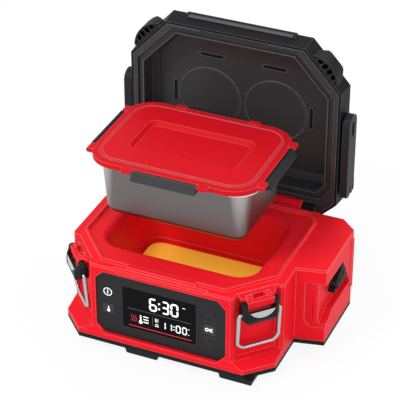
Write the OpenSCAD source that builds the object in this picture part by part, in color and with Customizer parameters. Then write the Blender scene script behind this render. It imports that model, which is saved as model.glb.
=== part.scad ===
// Electric lunch box: a heated well in a battery-powered housing, a hinged lid with a carry handle,
// two draw latches, and a steel food container that lifts out of the well.
// Origin: on the ground at the middle of the left front foot's tread. +X right, +Y back, +Z up.
// The pieces are described from the centre of the main body, and placed() carries them to the origin.
// Drawn with the lid open on its stop and the food container lifted out above the well.

/* [Housing] */
// Width of the main body across its flat sides
body_w = 250; // [240:1:270]
// Depth of the skirt from its front to its back
skirt_d = 196; // [190:1:210]
// Height of the deck above the ground
deck_z = 109.3; // [106:0.1:116]
// How far the body's front and back are set in from the skirt
skirt_inset = 3.1; // [1:0.1:5]
// Width taken off each front corner of the body
corner_x = 43; // [38:0.5:48]
// Depth taken off each front corner of the body
corner_y = 47.2; // [42:0.2:50]
// Width and depth taken off each front corner of the skirt
skirt_corner = 27.4; // [22:0.2:30]
// Width and depth taken off each rear corner of the body
rear_corner = 14; // [8:0.5:18]
// Wall thickness of the housing
wall = 3; // [2.4:0.1:4]
// Height of the skirt's upright band above the base plate
skirt_h = 5.2; // [3:0.1:8]
// Height of the sloped shelf above the upright band
shelf_h = 5.6; // [3:0.1:8]
// Thickness of the moulded deck
deck_t = 3; // [2.4:0.1:4]

/* [Base] */
// Height of the feet
foot_h = 8.8; // [6:0.1:12]
// Width of each foot
foot_w = 39; // [30:1:46]
// Length of each foot from front to back
foot_l = 24; // [18:1:34]
// Distance between the two feet of a row
foot_pitch = 111.3; // [96:0.1:120]
// Sideways place of the left foot's centre
foot_x = -22; // [-34:1:-16]
// Thickness of the base plate
base_t = 5.5; // [4:0.1:8]

/* [Well] */
// Half width of the well at its mouth
well_hx = 88; // [86.5:0.1:92]
// Half depth of the well at its mouth
well_hy = 58.6; // [57.5:0.1:62]
// Corner radius of the well at its mouth
well_r = 22; // [20:0.5:28]
// Place of the well's centre behind the body's centre
well_y = 6.4; // [4:0.1:8]
// Radius of the rounded lip round the well's mouth
lip_r = 8; // [4:0.5:9]
// Height of the narrow ledge at the foot of the well's walls
ledge_z = 49; // [47:0.5:54]
// Height of the top of the heating plate
plate_z = 45.3; // [43:0.1:46]
// How far each wall of the well leans in from its mouth to the ledge
well_taper = 2.8; // [2:0.1:3.4]
// Distance from the foot of the well's side walls to the heating plate
plate_side = 8.2; // [6.2:0.1:15]
// Distance from the foot of the well's front and back walls to the heating plate
plate_end = 5.8; // [4.8:0.1:11]
// Thickness of the heating plate
plate_t = 3; // [2:0.1:4]

/* [Sealing rib] */
// Distance from the body's sides to the rib
rib_side = 10.3; // [9:0.1:12]
// Distance from the body's front to the rib
rib_front = 8; // [7.6:0.1:9]
// Distance from the rib to the body's back
rib_back = 7.5; // [7.4:0.1:10]
// Height of the rib above the deck
rib_h = 3.5; // [2:0.1:5]
// Thickness of the rib
rib_t = 2.5; // [2:0.1:3.5]
// Half width of the centring lug in front of the rib
lug_hx = 40; // [30:1:48]

/* [Control panel] */
// Distance from the body's side to the control panel's side
panel_side = 48.5; // [47:0.1:53]
// Height of the panel's lower edge above the ground
panel_z0 = 21.1; // [20:0.1:26]
// Distance from the deck down to the panel's upper edge
panel_drop = 8.6; // [7.3:0.1:11.3]
// Size of the cut corners of the panel
panel_corner = 9.5; // [6:0.5:14]
// Depth of the panel below the body's front
panel_in = 1.9; // [1:0.1:2.5]
// Thickness of the bezel
bezel_t = 2.5; // [2:0.1:3]
// Mean distance from the panel's sides to the display window
display_side = 33.25; // [33:0.25:40]
// Sideways place of the display's centre
display_x = -1.75; // [-3:0.25:2]
// Height of the display's lower edge above the ground
display_z0 = 34.3; // [30:0.1:40]
// Distance from the panel's upper edge down to the display
display_drop = 13; // [9:0.1:20]
// How far each key travels when it is pressed
key_travel = 1; // [0.5:0.1:1.5]

/* [Battery bay] */
// How far the battery bay stands out from the body's right side
bay_w = 32.6; // [28:0.2:36]
// Place of the bay's front at the body's side
bay_y0 = -14.9; // [-20:0.1:-10]
// How far the bay's front falls back at its outer edge
bay_skew = 7.6; // [0:0.1:12]
// Place of the bay's back
bay_y1 = 94.2; // [88:0.1:95]
// Thickness of the wall between the body and the bay's pocket
bay_inner = 24.3; // [22:0.1:26]
// Height of the pocket's floor at its front
pocket_z0 = 36; // [30:0.1:40]
// Height of the pocket's ceiling
pocket_z1 = 89.3; // [84:0.1:96]
// How far the pocket's floor rises behind its front lip
pocket_rise = 8.3; // [0:0.1:12]
// Place of the foot of the pocket's back wall
pocket_y1 = 71.8; // [64:0.1:74]
// How far the pocket's back wall leans forward at its top
pocket_lean = 25; // [16:0.5:28]

/* [Hinge and lid] */
// Distance of the hinge axis behind the body's back
hinge_back = 8.6; // [8.5:0.1:11]
// Depth of the hinge axis below the deck
hinge_down = 3; // [2:0.1:4]
// Half length of the housing's hinge barrel
barrel_hx = 87; // [70:0.5:90]
// Radius of the housing's hinge barrel
barrel_r = 8; // [6:0.1:8.2]
// Length of each lid knuckle
knuckle_l = 16; // [10:0.5:18]
// Radius of each lid knuckle
knuckle_r = 6.5; // [5:0.1:7]
// Radius of the hinge pin
hinge_pin_r = 2; // [1.5:0.1:3]
// Gap between the closed lid's rim and the deck
lid_gap = 0.5; // [0.4:0.1:1]
// Height of the lid from its rim to its top
lid_h = 32.5; // [31:0.5:38]
// Height of the lid's upright sides above its rim
lid_side_h = 24.5; // [22:0.5:26]
// Distance from the hinge axis to the lid's rear edge
lid_tail = 20; // [17:0.5:24]
// How far the lid's sides lean out towards its top
lid_flare = 2; // [0:0.1:3]
// Thickness of the lid's outer shell
lid_wall = 3; // [2.2:0.1:3.2]
// Thickness of the lid's inner liner
liner_wall = 2; // [1.4:0.1:2.4]
// Width of the sloped border round the lid's flat top
lid_dome = 15.5; // [10:0.5:20]

/* [Carry handle] */
// Distance from the hinge axis forward to the handle's pivots
handle_reach = 110.5; // [104:0.5:114]
// Height of the handle's pivots above the hinge axis
handle_up = 17.5; // [17.5:0.1:18.5]
// Sideways thickness of each handle arm
arm_t = 8.6; // [7:0.1:10]
// Width of each handle arm seen from the side
arm_w = 23; // [20:0.5:24]
// Distance between the handle's pivots and its grip
arm_l = 82; // [74:1:86]
// Radius of the grip
grip_r = 6.5; // [5:0.1:7]
// Radius of the handle's pivot pins
handle_pin_r = 3; // [2:0.1:4]

/* [Latches] */
// Half width of the latch recess in each front corner
recess_hx = 27.5; // [27.2:0.1:30]
// Depth of the latch recess
recess_in = 4.5; // [3:0.1:5]
// Height of the bottom of the latch recess above the ground
recess_z = 25.2; // [24:0.1:30]
// Half width of the moulded bracket that carries the lever
bracket_hx = 15.5; // [13:0.1:15.8]
// How far the bracket stands out from the corner
bracket_out = 9; // [8.6:0.1:9.4]
// Distance of the lever's pivot out from the corner
lever_out = 5.8; // [5.4:0.1:6.2]
// Height of the lever's pivot above the ground
lever_z = 98; // [97:0.1:98.4]
// Half width of the lever
lever_hx = 21; // [20.6:0.1:21.4]
// Thickness of the lever's ears
ear_t = 4.8; // [4:0.1:5]
// Distance from the lever's pivot down to its lower edge
lever_l = 21.2; // [19:0.1:23]
// Radius of the lever's pivot pin
lever_pin_r = 1.5; // [1:0.1:1.8]
// Radius of the bail's wire
wire_r = 2.2; // [1.6:0.05:2.25]
// Distance from the lever's pivot down to the bail's pivot
bail_drop = 11.2; // [10:0.1:12]
// Distance of the bail's pivot out from the corner
bail_out = 5; // [4.9:0.1:5.2]
// Half width between the centres of the bail's legs
bail_hx = 24.15; // [24.1:0.05:24.5]
// Distance from the bail's pivot to its crossbar
bail_l = 45.5; // [42:0.5:48]
// Radius of the bail's lower corners
bail_r = 9.5; // [6:0.5:11]
// How far the keeper stands out from the lid
keeper_out = 12.5; // [11:0.1:14]

/* [Food container] */
// Gap all round between the tub's rim and the well's mouth
tub_gap = 0.7; // [0.5:0.1:3]
// Corner radius of the tub at its bottom
tub_r = 14.5; // [12:0.5:18]
// How far the tub's walls lean out from its bottom to its rim
tub_taper = 5.2; // [4:0.1:5.4]
// Radius of the tub's rounded bottom edge
tub_edge_r = 8; // [5:0.5:10]
// Thickness of the tub's steel
tub_t = 1; // [0.6:0.1:1.2]
// Width of the tub's rim flange
flange_w = 8.8; // [7:0.1:9]
// How far the container's lid stands out past the tub's flange at its sides
cap_over_x = 1.2; // [0.8:0.1:2.9]
// How far the container's lid stands out past the tub's flange at its front and back
cap_over_y = 3.5; // [1.3:0.1:3.9]
// Corner radius of the container's lid
cap_r = 33; // [30:0.5:34]
// Height of the container from the tub's bottom to the lid's top
container_h = 76; // [75.8:0.1:77]
// Height of the container lid's rim
cap_rim_h = 7.2; // [6:0.1:7.4]
// Half length of each clip
clip_hl = 36.9; // [30:0.1:40]
// How far the container is lifted out of the well
lift_h = 99; // [90:1:110]
// How far the lifted container stands to the left
lift_x = 6; // [4:0.1:6]

/* [Hidden] */
$fn = 64;

// Colours
red = "#d71923";
black = "#2b2b2c";
dark = "#151515";
grey = "#55565a";
steel = "#b9bbbd";
amber = "#eda52b";
silver = "#a9aaac";
green = "#1f5a3c";
cream = "#d8cfb8";

// Clearances: a running fit on a pin, a gap between pieces that slide, and a gap between soft pieces
run_fit = 0.04;
slide_gap = 0.3;
soft_gap = 0.3;
// More than any cut needs to pass right through
over = 1;

// Heights of the housing
base_z = foot_h;
case_z = base_z + base_t;
band_z = case_z + skirt_h;
shelf_z = band_z + shelf_h;
seam_z = deck_z - deck_t;
rib_z = deck_z + rib_h;

// Faces of the body
body_hx = body_w / 2;
panel_hx = body_hx - panel_side;
display_hx = panel_hx - display_side;
panel_z1 = deck_z - panel_drop;
display_z1 = panel_z1 - display_drop;
rib_hx = body_hx - rib_side;
skirt_front = -skirt_d / 2;
front_y = skirt_front + skirt_inset;
back_y = skirt_d / 2 - skirt_inset;
corner_l = norm([corner_x, corner_y]);
corner_angle = atan2(corner_y, corner_x);
panel_y = front_y + panel_in;
ledge_y = panel_y + bezel_t;
cavity_front = ledge_y + 2.6;

// Outlines as [half width, front, back, front cut x, front cut y, rear cut x, rear cut y]
skirt_o = [body_hx, skirt_front, skirt_d / 2, skirt_corner, skirt_corner, rear_corner - 4, rear_corner - 4];
body_o = [body_hx, front_y, back_y, corner_x, corner_y, rear_corner, rear_corner];
rib_o = [rib_hx, front_y + rib_front, back_y - rib_back, corner_x - 0.2, corner_y - 1.1, rear_corner - 1.5,
    rear_corner];

// Hinge and lid, with the lid described where it lies when it is closed
hinge_y = back_y + hinge_back;
hinge_z = deck_z - hinge_down;
rim_z = deck_z + lid_gap;
lid_mid_z = rim_z + lid_side_h;
lid_top_z = rim_z + lid_h;
lid_back = hinge_y + lid_tail;
lid_corner = 29.5;
lid_o = [body_hx, front_y, lid_back, corner_x, corner_y, lid_corner, lid_corner];
rim_grow = 0.5;
lid_open = 90;

// Seal and the groove that holds it
seal_z = rib_z + soft_gap;
seal_out = 2.9;
seal_in = -rib_t - 0.8;
seal_h = 3.7;
groove_z = seal_z + seal_h + 0.1;
flange_z = groove_z + 2;
liner_in = seal_in - 1.2;
ceiling_z = lid_top_z - lid_wall - liner_wall;

// Latches
corner_mid = [body_hx - corner_x / 2, front_y + corner_y / 2];
bail_z = lever_z - bail_drop;
bail_rest = asin((bail_out - 1.5) / bail_l);
keeper_hx = bail_hx - wire_r - 0.6;
keeper_seat_z = bail_z + bail_l - wire_r - 0.1;

// Handle pivots and grip, where they lie when the lid is closed
handle_y = hinge_y - handle_reach;
handle_z = hinge_z + handle_up;
lid_side_x = body_hx + rim_grow + lid_flare;
arm_x = lid_side_x + 0.5;

// Well
well_cx = well_hx - well_r;
well_cy = well_hy - well_r;
well_wall = 2.5;
foot_r = well_r - well_taper;
plate_hx = well_hx - well_taper - plate_side;
plate_hy = well_hy - well_taper - plate_end;
floor_z = plate_z - plate_t;

// Food container, drawn where it sits in the well
tub_z = plate_z;
cap_z = tub_z + container_h;
cap_rim_z = cap_z - cap_rim_h;
gasket_t = 1.1;
flange_top = cap_rim_z - gasket_t;
tub_hx = well_hx - tub_gap - tub_taper;
tub_hy = well_hy - tub_gap - tub_taper;
tub_cx = tub_hx - tub_r;
tub_cy = tub_hy - tub_r;
tub_top_r = tub_r + tub_taper;
flange_r = tub_top_r + flange_w;
roll_r = 0.9;
cap_hx = tub_cx + flange_r + cap_over_x;
cap_hy = tub_cy + flange_r + cap_over_y;
clip_drop = 11.6;
clip_pin_z = cap_z - 3.6;
clip_pin_out = 3;
clip_pin_r = 0.9;
clip_barrel_r = 2.6;
clip_wing = 9;
ear_l = 12.5;

// A cut of a by b at a corner, after both faces have moved out by d
function cut_grown(a, b, d) = a + d * (1 - (norm([a, b]) - a) / b);

// Corner points of an octagonal outline whose faces have all moved out by d
function octagon(o, d = 0) = let(
    h = o[0] + d,
    f = o[1] - d,
    k = o[2] + d,
    ax = cut_grown(o[3], o[4], d),
    ay = cut_grown(o[4], o[3], d),
    bx = cut_grown(o[5], o[6], d),
    by = cut_grown(o[6], o[5], d))
    [[ax - h, f], [h - ax, f], [h, f + ay], [h, k - by], [h - bx, k], [bx - h, k], [-h, k - by], [-h, f + ay]];

// ---------- shared shapes ----------

module prism(o, d, z0, z1) {
    translate([0, 0, z0]) linear_extrude(z1 - z0) polygon(octagon(o, d));
}

// An octagonal wall of the outline o between its offsets d0 and d1
module ring(o, d0, d1, z0, z1) {
    translate([0, 0, z0]) linear_extrude(z1 - z0) difference() {
        polygon(octagon(o, d1));
        polygon(octagon(o, d0));
    }
}

module box(x0, x1, y0, y1, z0, z1) {
    translate([x0, y0, z0]) cube([x1 - x0, y1 - y0, z1 - z0]);
}

// A rounded rectangle of half sizes hx and hy
module rounded(hx, hy, r) {
    square([2 * (hx - r), 2 * hy], center = true);
    square([2 * hx, 2 * (hy - r)], center = true);
    for (sx = [-1, 1], sy = [-1, 1])
        translate([sx * (hx - r), sy * (hy - r)]) circle(r);
}

module rounded_plate(hx, hy, r, z0, z1) {
    translate([0, 0, z0]) linear_extrude(z1 - z0) rounded(hx, hy, r);
}

// Carries a profile of [distance out, height] round a rectangle of half sizes cx and cy with round corners
module sweep_round(cx, cy) {
    for (q = [0:3])
        translate([(q == 0 || q == 3 ? 1 : -1) * cx, (q < 2 ? 1 : -1) * cy, 0])
            rotate([0, 0, 90 * q]) rotate_extrude(angle = 90) children();
    for (s = [0, 180]) rotate([0, 0, s]) {
        translate([cx, cy, 0]) rotate([90, 0, 0]) linear_extrude(2 * cy) children();
        translate([cx, cy, 0]) rotate([90, 0, 90]) mirror([0, 0, 1]) linear_extrude(2 * cx) children();
    }
}

module rod_x(x0, x1, y, z, r) {
    translate([x0, y, z]) rotate([0, 90, 0]) cylinder(h = x1 - x0, r = r);
}

module rod_y(x, y0, y1, z, r) {
    translate([x, y0, z]) rotate([-90, 0, 0]) cylinder(h = y1 - y0, r = r);
}

// A profile of [y, z] points drawn along X from x0 to x1
module along_x(x0, x1) {
    translate([x0, 0, 0]) rotate([90, 0, 90]) linear_extrude(x1 - x0) children();
}

// A profile of [x, z] points drawn along Y from y0 to y1
module along_y(y0, y1) {
    translate([0, y1, 0]) rotate([90, 0, 0]) linear_extrude(y1 - y0) children();
}

// Carries a closed lid's piece to the open pose
module opened() {
    translate([0, hinge_y, hinge_z]) rotate([-lid_open, 0, 0]) translate([0, -hinge_y, -hinge_z]) children();
}

// Stands a latch piece on a front corner: x along the corner's face, -y outwards; side is 1 for right
module on_corner(side) {
    mirror([side < 0 ? 1 : 0, 0, 0])
        translate([corner_mid[0], corner_mid[1], 0]) rotate([0, 0, corner_angle]) children();
}

// Carries a piece from the body's centre to the part's origin at the left front foot
module placed() {
    translate([-foot_x, -foot_rows[0] - foot_l / 2, 0]) children();
}

module lifted() {
    translate([-lift_x, 0, lift_h]) children();
}

module in_well() {
    translate([0, well_y, 0]) children();
}

// ---------- housing ----------

// Plan of the battery bay, from inside the body's wall outwards
bay_x1 = body_hx + bay_w;
stop_x = barrel_hx + 8;
bay_cut = [17.7, 15.9];
module bay_plan(d = 0) {
    polygon([[body_hx - wall, bay_y0 - d], [body_hx, bay_y0 - d], [bay_x1 + d, bay_y0 + bay_skew - d],
        [bay_x1 + d, bay_y1 - bay_cut[1] + d / 2], [bay_x1 - bay_cut[0] + d / 2, bay_y1 + d],
        [body_hx - rear_corner - wall, bay_y1 + d], [body_hx - rear_corner - wall, bay_y1 - wall],
        [body_hx - wall, bay_y1 - wall - rear_corner]]);
}

// The body and the battery bay between two heights
module case_block(z0, z1) {
    prism(body_o, 0, z0, z1);
    translate([0, 0, z0]) linear_extrude(z1 - z0) bay_plan();
}

// Octagonal face of the control panel, grown by d
module panel_face(d) {
    c = panel_corner;
    h = panel_hx + d;
    z0 = panel_z0 - d;
    z1 = panel_z1 + d;
    polygon([[c - h, z0], [h - c, z0], [h, z0 + c], [h, z1 - c], [h - c, z1], [c - h, z1], [-h, z1 - c],
        [-h, z0 + c]]);
}

// The hollow inside the case; its front corners leave a full wall behind the latch recesses
module case_hollow(z0, z1) {
    side = body_hx - wall;
    // how far out the corner of the hollow lies, along the square of the body's corner
    corner_k = (corner_y * (body_hx - corner_x) - corner_x * front_y) / corner_l - recess_in - wall;
    cut_x = side - (corner_l * corner_k + corner_x * cavity_front) / corner_y;
    cut_y = (corner_y * side - corner_l * corner_k) / corner_x - cavity_front;
    prism([side, cavity_front, back_y - wall, cut_x, cut_y, rear_corner, rear_corner], 0, z0, z1);
}

// The recess that takes a latch: drafted sides and a sloped lower ledge
module latch_recess() {
    side = 4;
    rise = 2.2;
    out = recess_hx + side * over / recess_in;
    low = recess_z - rise * over / recess_in;
    intersection() {
        translate([0, 0, low - over]) linear_extrude(deck_z - low + 2 * over) polygon([[-out, -over],
            [side - recess_hx, recess_in], [recess_hx - side, recess_in], [out, -over]]);
        along_x(-out, out) polygon([[-over, low], [recess_in, recess_z + rise], [recess_in, deck_z + over],
            [-over, deck_z + over]]);
    }
}

// The moulded bracket in a recess, with its sloped hood, the slot in its top and the raised rings beside it
module latch_bracket() {
    low = lever_z - 2.3;
    high = lever_z + 5.2;
    hood_z = lever_z + 5;
    top_z = deck_z - 0.4;
    ear_clear = lever_out - 1.3;
    back = [[recess_in, top_z], [recess_in, seam_z], [recess_in + 1, seam_z]];
    difference() {
        union() {
            along_x(-bracket_hx, bracket_hx) polygon(concat([[recess_in + 1, low - 6], [-bracket_out, low],
                [-bracket_out, high]], back));
            intersection() {
                along_x(-lever_hx, lever_hx) polygon(concat([[recess_in + 1, hood_z], [-bracket_out, hood_z],
                    [-bracket_out, high]], back));
                translate([0, 0, hood_z - over]) linear_extrude(deck_z - hood_z + over)
                    polygon([[-lever_hx, 2 * recess_in], [-lever_hx, -1], [-bracket_hx, -ear_clear],
                        [-bracket_hx, -bracket_out], [bracket_hx, -bracket_out], [bracket_hx, -ear_clear],
                        [lever_hx, -1], [lever_hx, 2 * recess_in]]);
            }
            for (x = [-slot_ring_x, slot_ring_x]) translate([x, -2, hood_z]) difference() {
                cylinder(h = 4.6, r = 4.2);
                translate([0, 0, 3.4]) cylinder(h = 2, r = 2.4);
            }
        }
        rod_x(-bracket_hx - over, bracket_hx + over, -lever_out, lever_z, lever_pin_r + run_fit);
        box(-7, 7, -4.6, 0.6, lever_z + 2.6, deck_z);
    }
}
slot_ring_x = 10.5;

// Screw bosses inside the case, as [x, y]
boss_r = 4;
boss_xy = [[-body_hx + wall + 2.6, -30], [-body_hx + wall + 2.6, 60], [body_hx - wall - 2.6, -30],
    [body_hx - wall - 2.6, 60], [-60, back_y - wall - 2.6], [60, back_y - wall - 2.6]];
screw_r = 1.5;

module front_notch(d) {
    hx = 55;
    drop = 4.5;
    depth = 3.1;
    along_y(front_y - over - d, front_y + depth) polygon([[-hx, deck_z + over], [-hx, deck_z],
        [drop - hx - 1, deck_z - drop], [hx - drop + 1, deck_z - drop], [hx, deck_z], [hx, deck_z + over]]);
}

// The bay's pocket: open at the front and through the right side, with a leaning back wall
module bay_pocket() {
    x0 = body_hx + bay_inner;
    ramp_y = bay_y0 + bay_skew + 9;
    along_x(x0, bay_x1 + over) polygon([[bay_y0 - over, pocket_z0], [ramp_y, pocket_z0],
        [ramp_y + 12, pocket_z0 + pocket_rise], [pocket_y1, pocket_z0 + pocket_rise],
        [pocket_y1 - pocket_lean, pocket_z1 - 2], [bay_y0 - over, pocket_z1]]);
    // the shallow step round its mouth, with a half-round rib left standing
    translate([body_hx, bay_y0, 0]) rotate([0, 0, atan2(bay_skew, bay_w)]) difference() {
        along_y(-6, 3) polygon([[10.2, pocket_z1 + 1], [10.2, pocket_z0 + 4], [16.7, pocket_z0 - 3.2],
            [bay_w + 6, pocket_z0 - 3.2], [bay_w + 6, pocket_z1 + 1]]);
        translate([bay_inner - 3, 3.4, pocket_z0 + 3]) cylinder(h = pocket_z1 - pocket_z0, r = 3.2);
    }
}

module bay_strip() {
    difference() {
        box(bay_x1 - 0.5, bay_x1 + 1, pocket_y1 + 1, pocket_y1 + 7.4, case_z + 20, pocket_z1 + 9);
        for (z = [pocket_z1 + 1.5, case_z + 26])
            box(bay_x1 - over, bay_x1 + 2, pocket_y1 + 3.2, pocket_y1 + 5.2, z - 4, z + 4);
    }
}

module housing_shell() color(red) placed() {
    difference() {
        union() {
            hull() {
                prism(skirt_o, 0, case_z, band_z);
                prism(body_o, 0, shelf_z, shelf_z + 0.2);
            }
            prism(body_o, 0, shelf_z, seam_z);
            translate([0, 0, case_z]) linear_extrude(seam_z - case_z) bay_plan();
            bay_strip();
            // hinge barrel and its web along the back wall
            rod_x(-barrel_hx, barrel_hx, hinge_y, hinge_z, barrel_r);
            box(-barrel_hx, barrel_hx, back_y - over, hinge_y, hinge_z - barrel_r, seam_z);
            // the stops that the open lid leans on
            for (s = [-1, 1])
                along_x(s * stop_x - 5, s * stop_x + 5) polygon([[back_y - over, hinge_z - 34],
                    [hinge_y + hinge_down + lid_gap - 0.2, hinge_z - 17],
                    [hinge_y + hinge_down + lid_gap - 0.2, hinge_z - 11], [back_y - over, hinge_z - 9]]);
        }
        case_hollow(case_z - over, seam_z + over);
        // the void in the bay beside the pocket, open to the case
        box(body_hx - wall - over, body_hx + bay_inner - wall, bay_y0 + bay_skew + 4.5, pocket_y1,
            case_z + wall, seam_z - wall);
        bay_pocket();
        along_y(skirt_front - over, ledge_y) panel_face(slide_gap);
        along_y(skirt_front - over, cavity_front + over) panel_face(-4);
        front_notch(0);
        for (s = [-1, 1]) on_corner(s) latch_recess();
        rod_x(-barrel_hx - over, barrel_hx + over, hinge_y, hinge_z, hinge_pin_r + run_fit);
    }
    for (s = [-1, 1]) on_corner(s) latch_bracket();
    for (p = boss_xy)
        difference() {
            translate([p[0], p[1], case_z]) cylinder(h = 22, r = boss_r);
            translate([p[0], p[1], case_z - over]) cylinder(h = 18, r = screw_r + 0.02);
        }
}

// The sealing rib and its centring lug
module sealing_rib() {
    ring(rib_o, -rib_t, 0, deck_z - 0.5, rib_z);
    box(-lug_hx, lug_hx, rib_o[1] - 4.55, rib_o[1] + 0.5, deck_z - 0.5, rib_z);
}

module well_deck() color(red) placed() {
    difference() {
        union() {
            case_block(seam_z, deck_z);
            sealing_rib();
        }
        in_well() rounded_plate(well_hx + lip_r, well_hy + lip_r, well_r + lip_r, seam_z - over, rib_z);
        front_notch(0);
        for (s = [-1, 1]) on_corner(s) latch_recess();
    }
    // the well's walls, from the rounded lip to the ledge at the foot, as one profile
    in_well() sweep_round(well_cx, well_cy) difference() {
        polygon([[foot_r - 1, floor_z - 1.5], [foot_r - 1, ledge_z], [foot_r, ledge_z],
            [well_r, deck_z - lip_r], [well_r, deck_z], [well_r + lip_r, deck_z], [well_r + lip_r, seam_z],
            [well_r + well_wall + 1.5, deck_z - lip_r], [foot_r + well_wall, floor_z - 1.5]]);
        translate([well_r + lip_r, deck_z - lip_r]) rotate(90) difference() {
            square([lip_r + over, lip_r + over]);
            circle(lip_r);
        }
    }
    in_well() difference() {
        rounded_plate(well_hx - well_taper, well_hy - well_taper, foot_r, floor_z - 1.5, floor_z);
        rounded_plate(plate_hx + 0.6, plate_hy + 0.6, 15.6, floor_z - 2 - over, floor_z + over);
    }
}

module heating_plate() color(amber) placed() in_well() {
    rounded_plate(plate_hx, plate_hy, 15, floor_z - 1.5, plate_z);
    rounded_plate(plate_hx + 4, plate_hy + 3, 18, floor_z - 3.6, floor_z - 2.1);
    rounded_plate(plate_hx - 2, plate_hy - 2, 13, floor_z - 3.6, floor_z - 1);
}

module plate_gasket() color(dark) placed() in_well() difference() {
    rounded_plate(plate_hx + 4, plate_hy + 3, 18, floor_z - 2.1, floor_z - 1.5);
    rounded_plate(plate_hx + 0.1, plate_hy + 0.1, 15.1, floor_z - 3, floor_z);
}

// A flat-topped tube that loops round the underside of the plate
module heater_element() color(steel) placed() in_well() {
    top = floor_z - 3.6;
    for (g = [0, 18])
        sweep_round(48 - g * 0.6, 22 - g * 0.6) translate([12 - g * 0.3, top - 2.5]) {
            translate([0, 1]) square([5, 3], center = true);
            circle(2.5);
        }
}

module well_insulation() color(cream) placed() in_well() sweep_round(well_cx, well_cy)
    polygon([[foot_r + well_wall + 0.4, floor_z], [foot_r + well_wall + 5, floor_z],
        [well_r + well_wall + 6, deck_z - 16],
        [well_r + well_wall + 1.6, deck_z - 16]]);

module temperature_sensor() color(steel) placed() in_well() {
    translate([0, 0, floor_z - 7.6]) cylinder(h = 4, r = 7);
    translate([0, 0, floor_z - 12.6]) cylinder(h = 5.2, r = 4.5);
}

module thermal_fuse() color(cream) placed() in_well() {
    box(15, 33, -4, 4, floor_z - 5, floor_z - 3.6);
    rod_x(16, 32, 0, floor_z - 6.4, 2.6);
}

// ---------- base ----------

foot_rows = [skirt_front + 0.4, skirt_d / 2 - foot_l - 0.4];
foot_cols = [foot_x, foot_x + foot_pitch];

// One moulded foot: a cleat with drafted sides and a bevelled tread
module foot() {
    draft = 1.2;
    bevel = 2;
    intersection() {
        along_y(0, foot_l) polygon([[-foot_w / 2, foot_h], [foot_w / 2, foot_h], [foot_w / 2 - draft, bevel],
            [foot_w / 2 - draft - bevel, 0], [draft + bevel - foot_w / 2, 0], [draft - foot_w / 2, bevel]]);
        along_x(-foot_w, foot_w) polygon([[0, foot_h], [foot_l, foot_h], [foot_l - draft, bevel],
            [foot_l - draft - bevel, 0], [draft + bevel, 0], [draft, bevel]]);
    }
}

module base_plate() color(black) placed() {
    difference() {
        union() {
            difference() {
                union() {
                    translate([0, 0, base_z]) linear_extrude(base_t) polygon(octagon(skirt_o));
                    translate([0, 0, base_z]) linear_extrude(base_t) bay_plan();
                }
                // the hollow that lightens the plate from inside
                prism(skirt_o, -12, base_z + 2.5, case_z + over);
            }
            for (x = foot_cols, y = foot_rows) translate([x, y, 0]) foot();
        }
        for (p = boss_xy) translate([p[0], p[1], base_z - over]) {
            cylinder(h = base_t + 2 * over, r = screw_r + 0.3);
            cylinder(h = 2.7 + over, r = 3.3);
        }
    }
}

module case_screws() color(steel) placed()
    for (p = boss_xy) translate([p[0], p[1], base_z]) {
        translate([0, 0, 0.5]) cylinder(h = 2.2, r = 3);
        translate([0, 0, 1]) cylinder(h = base_t + 12, r = screw_r);
    }

// ---------- control panel ----------

// Middle of each key as [x, z]
power_at = [13.9 - panel_hx, panel_z1 - 25.2];
temp_at = [14.4 - panel_hx, 53.4];
up_at = [panel_hx - 18.7, panel_z1 - 24.7];
ok_at = [panel_hx - 19.1, 59.2];
down_at = [panel_hx - 18.3, 43.4];

module power_face(d) { circle(6.6 + d); }
module temp_face(d) { square([12.4 + 2 * d, 11 + 2 * d], center = true); }
module ok_face(d) { square([13 + 2 * d, 12.2 + 2 * d], center = true); }
module up_face(d) { polygon([[-6.4 - 1.7 * d, -6.6 - d], [6.4 + 1.7 * d, -6.6 - d], [0, 6.6 + 2.3 * d]]); }
module down_face(d) { mirror([0, 1]) up_face(d); }

module place_keys(d) {
    translate(power_at) power_face(d);
    translate(temp_at) temp_face(d);
    translate(up_at) up_face(d);
    translate(ok_at) ok_face(d);
    translate(down_at) down_face(d);
}

module display_face(d) {
    translate([display_x - display_hx - d, display_z0 - d])
        square([2 * (display_hx + d), display_z1 - display_z0 + 2 * d]);
}

glass_t = 1.5;
board_y = ledge_y + 3.6;
board_z = [panel_z0 + 9.9, panel_z1 - 5.7];
post_x = panel_hx - 8;
post_z = [panel_z0 + 12.9, panel_z1 - 14.7];

module control_bezel() color(black) placed() {
    difference() {
        along_y(panel_y, ledge_y) panel_face(0);
        along_y(panel_y - over, panel_y + glass_t) display_face(0.15);
        along_y(panel_y - over, ledge_y + over) display_face(-3);
        along_y(panel_y - over, ledge_y + over) place_keys(slide_gap);
    }
    for (x = [-post_x, post_x], z = post_z) rod_y(x, ledge_y - 0.5, board_y, z, 2.4);
}

module display_window() color(dark) placed()
    along_y(panel_y + 0.1, panel_y + glass_t) display_face(0);

// A key: its cap in the bezel, a flange behind it and a stem that reaches the switch
module key(at) {
    proud = 0.3;
    translate([at[0], 0, at[1]]) {
        along_y(panel_y - proud, ledge_y + 0.2) children();
        rod_y(0, ledge_y + 0.1, ledge_y + 1.1, 0, 3.2);
        rod_y(0, ledge_y + 0.5, board_y - 0.6 - key_travel, 0, 1.6);
    }
}

module power_button() color(black) placed() key(power_at) power_face(0);
module temperature_button() color(black) placed() key(temp_at) temp_face(0);
module up_button() color(grey) placed() key(up_at) up_face(0);
module ok_button() color(grey) placed() key(ok_at) ok_face(0);
module down_button() color(grey) placed() key(down_at) down_face(0);

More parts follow.
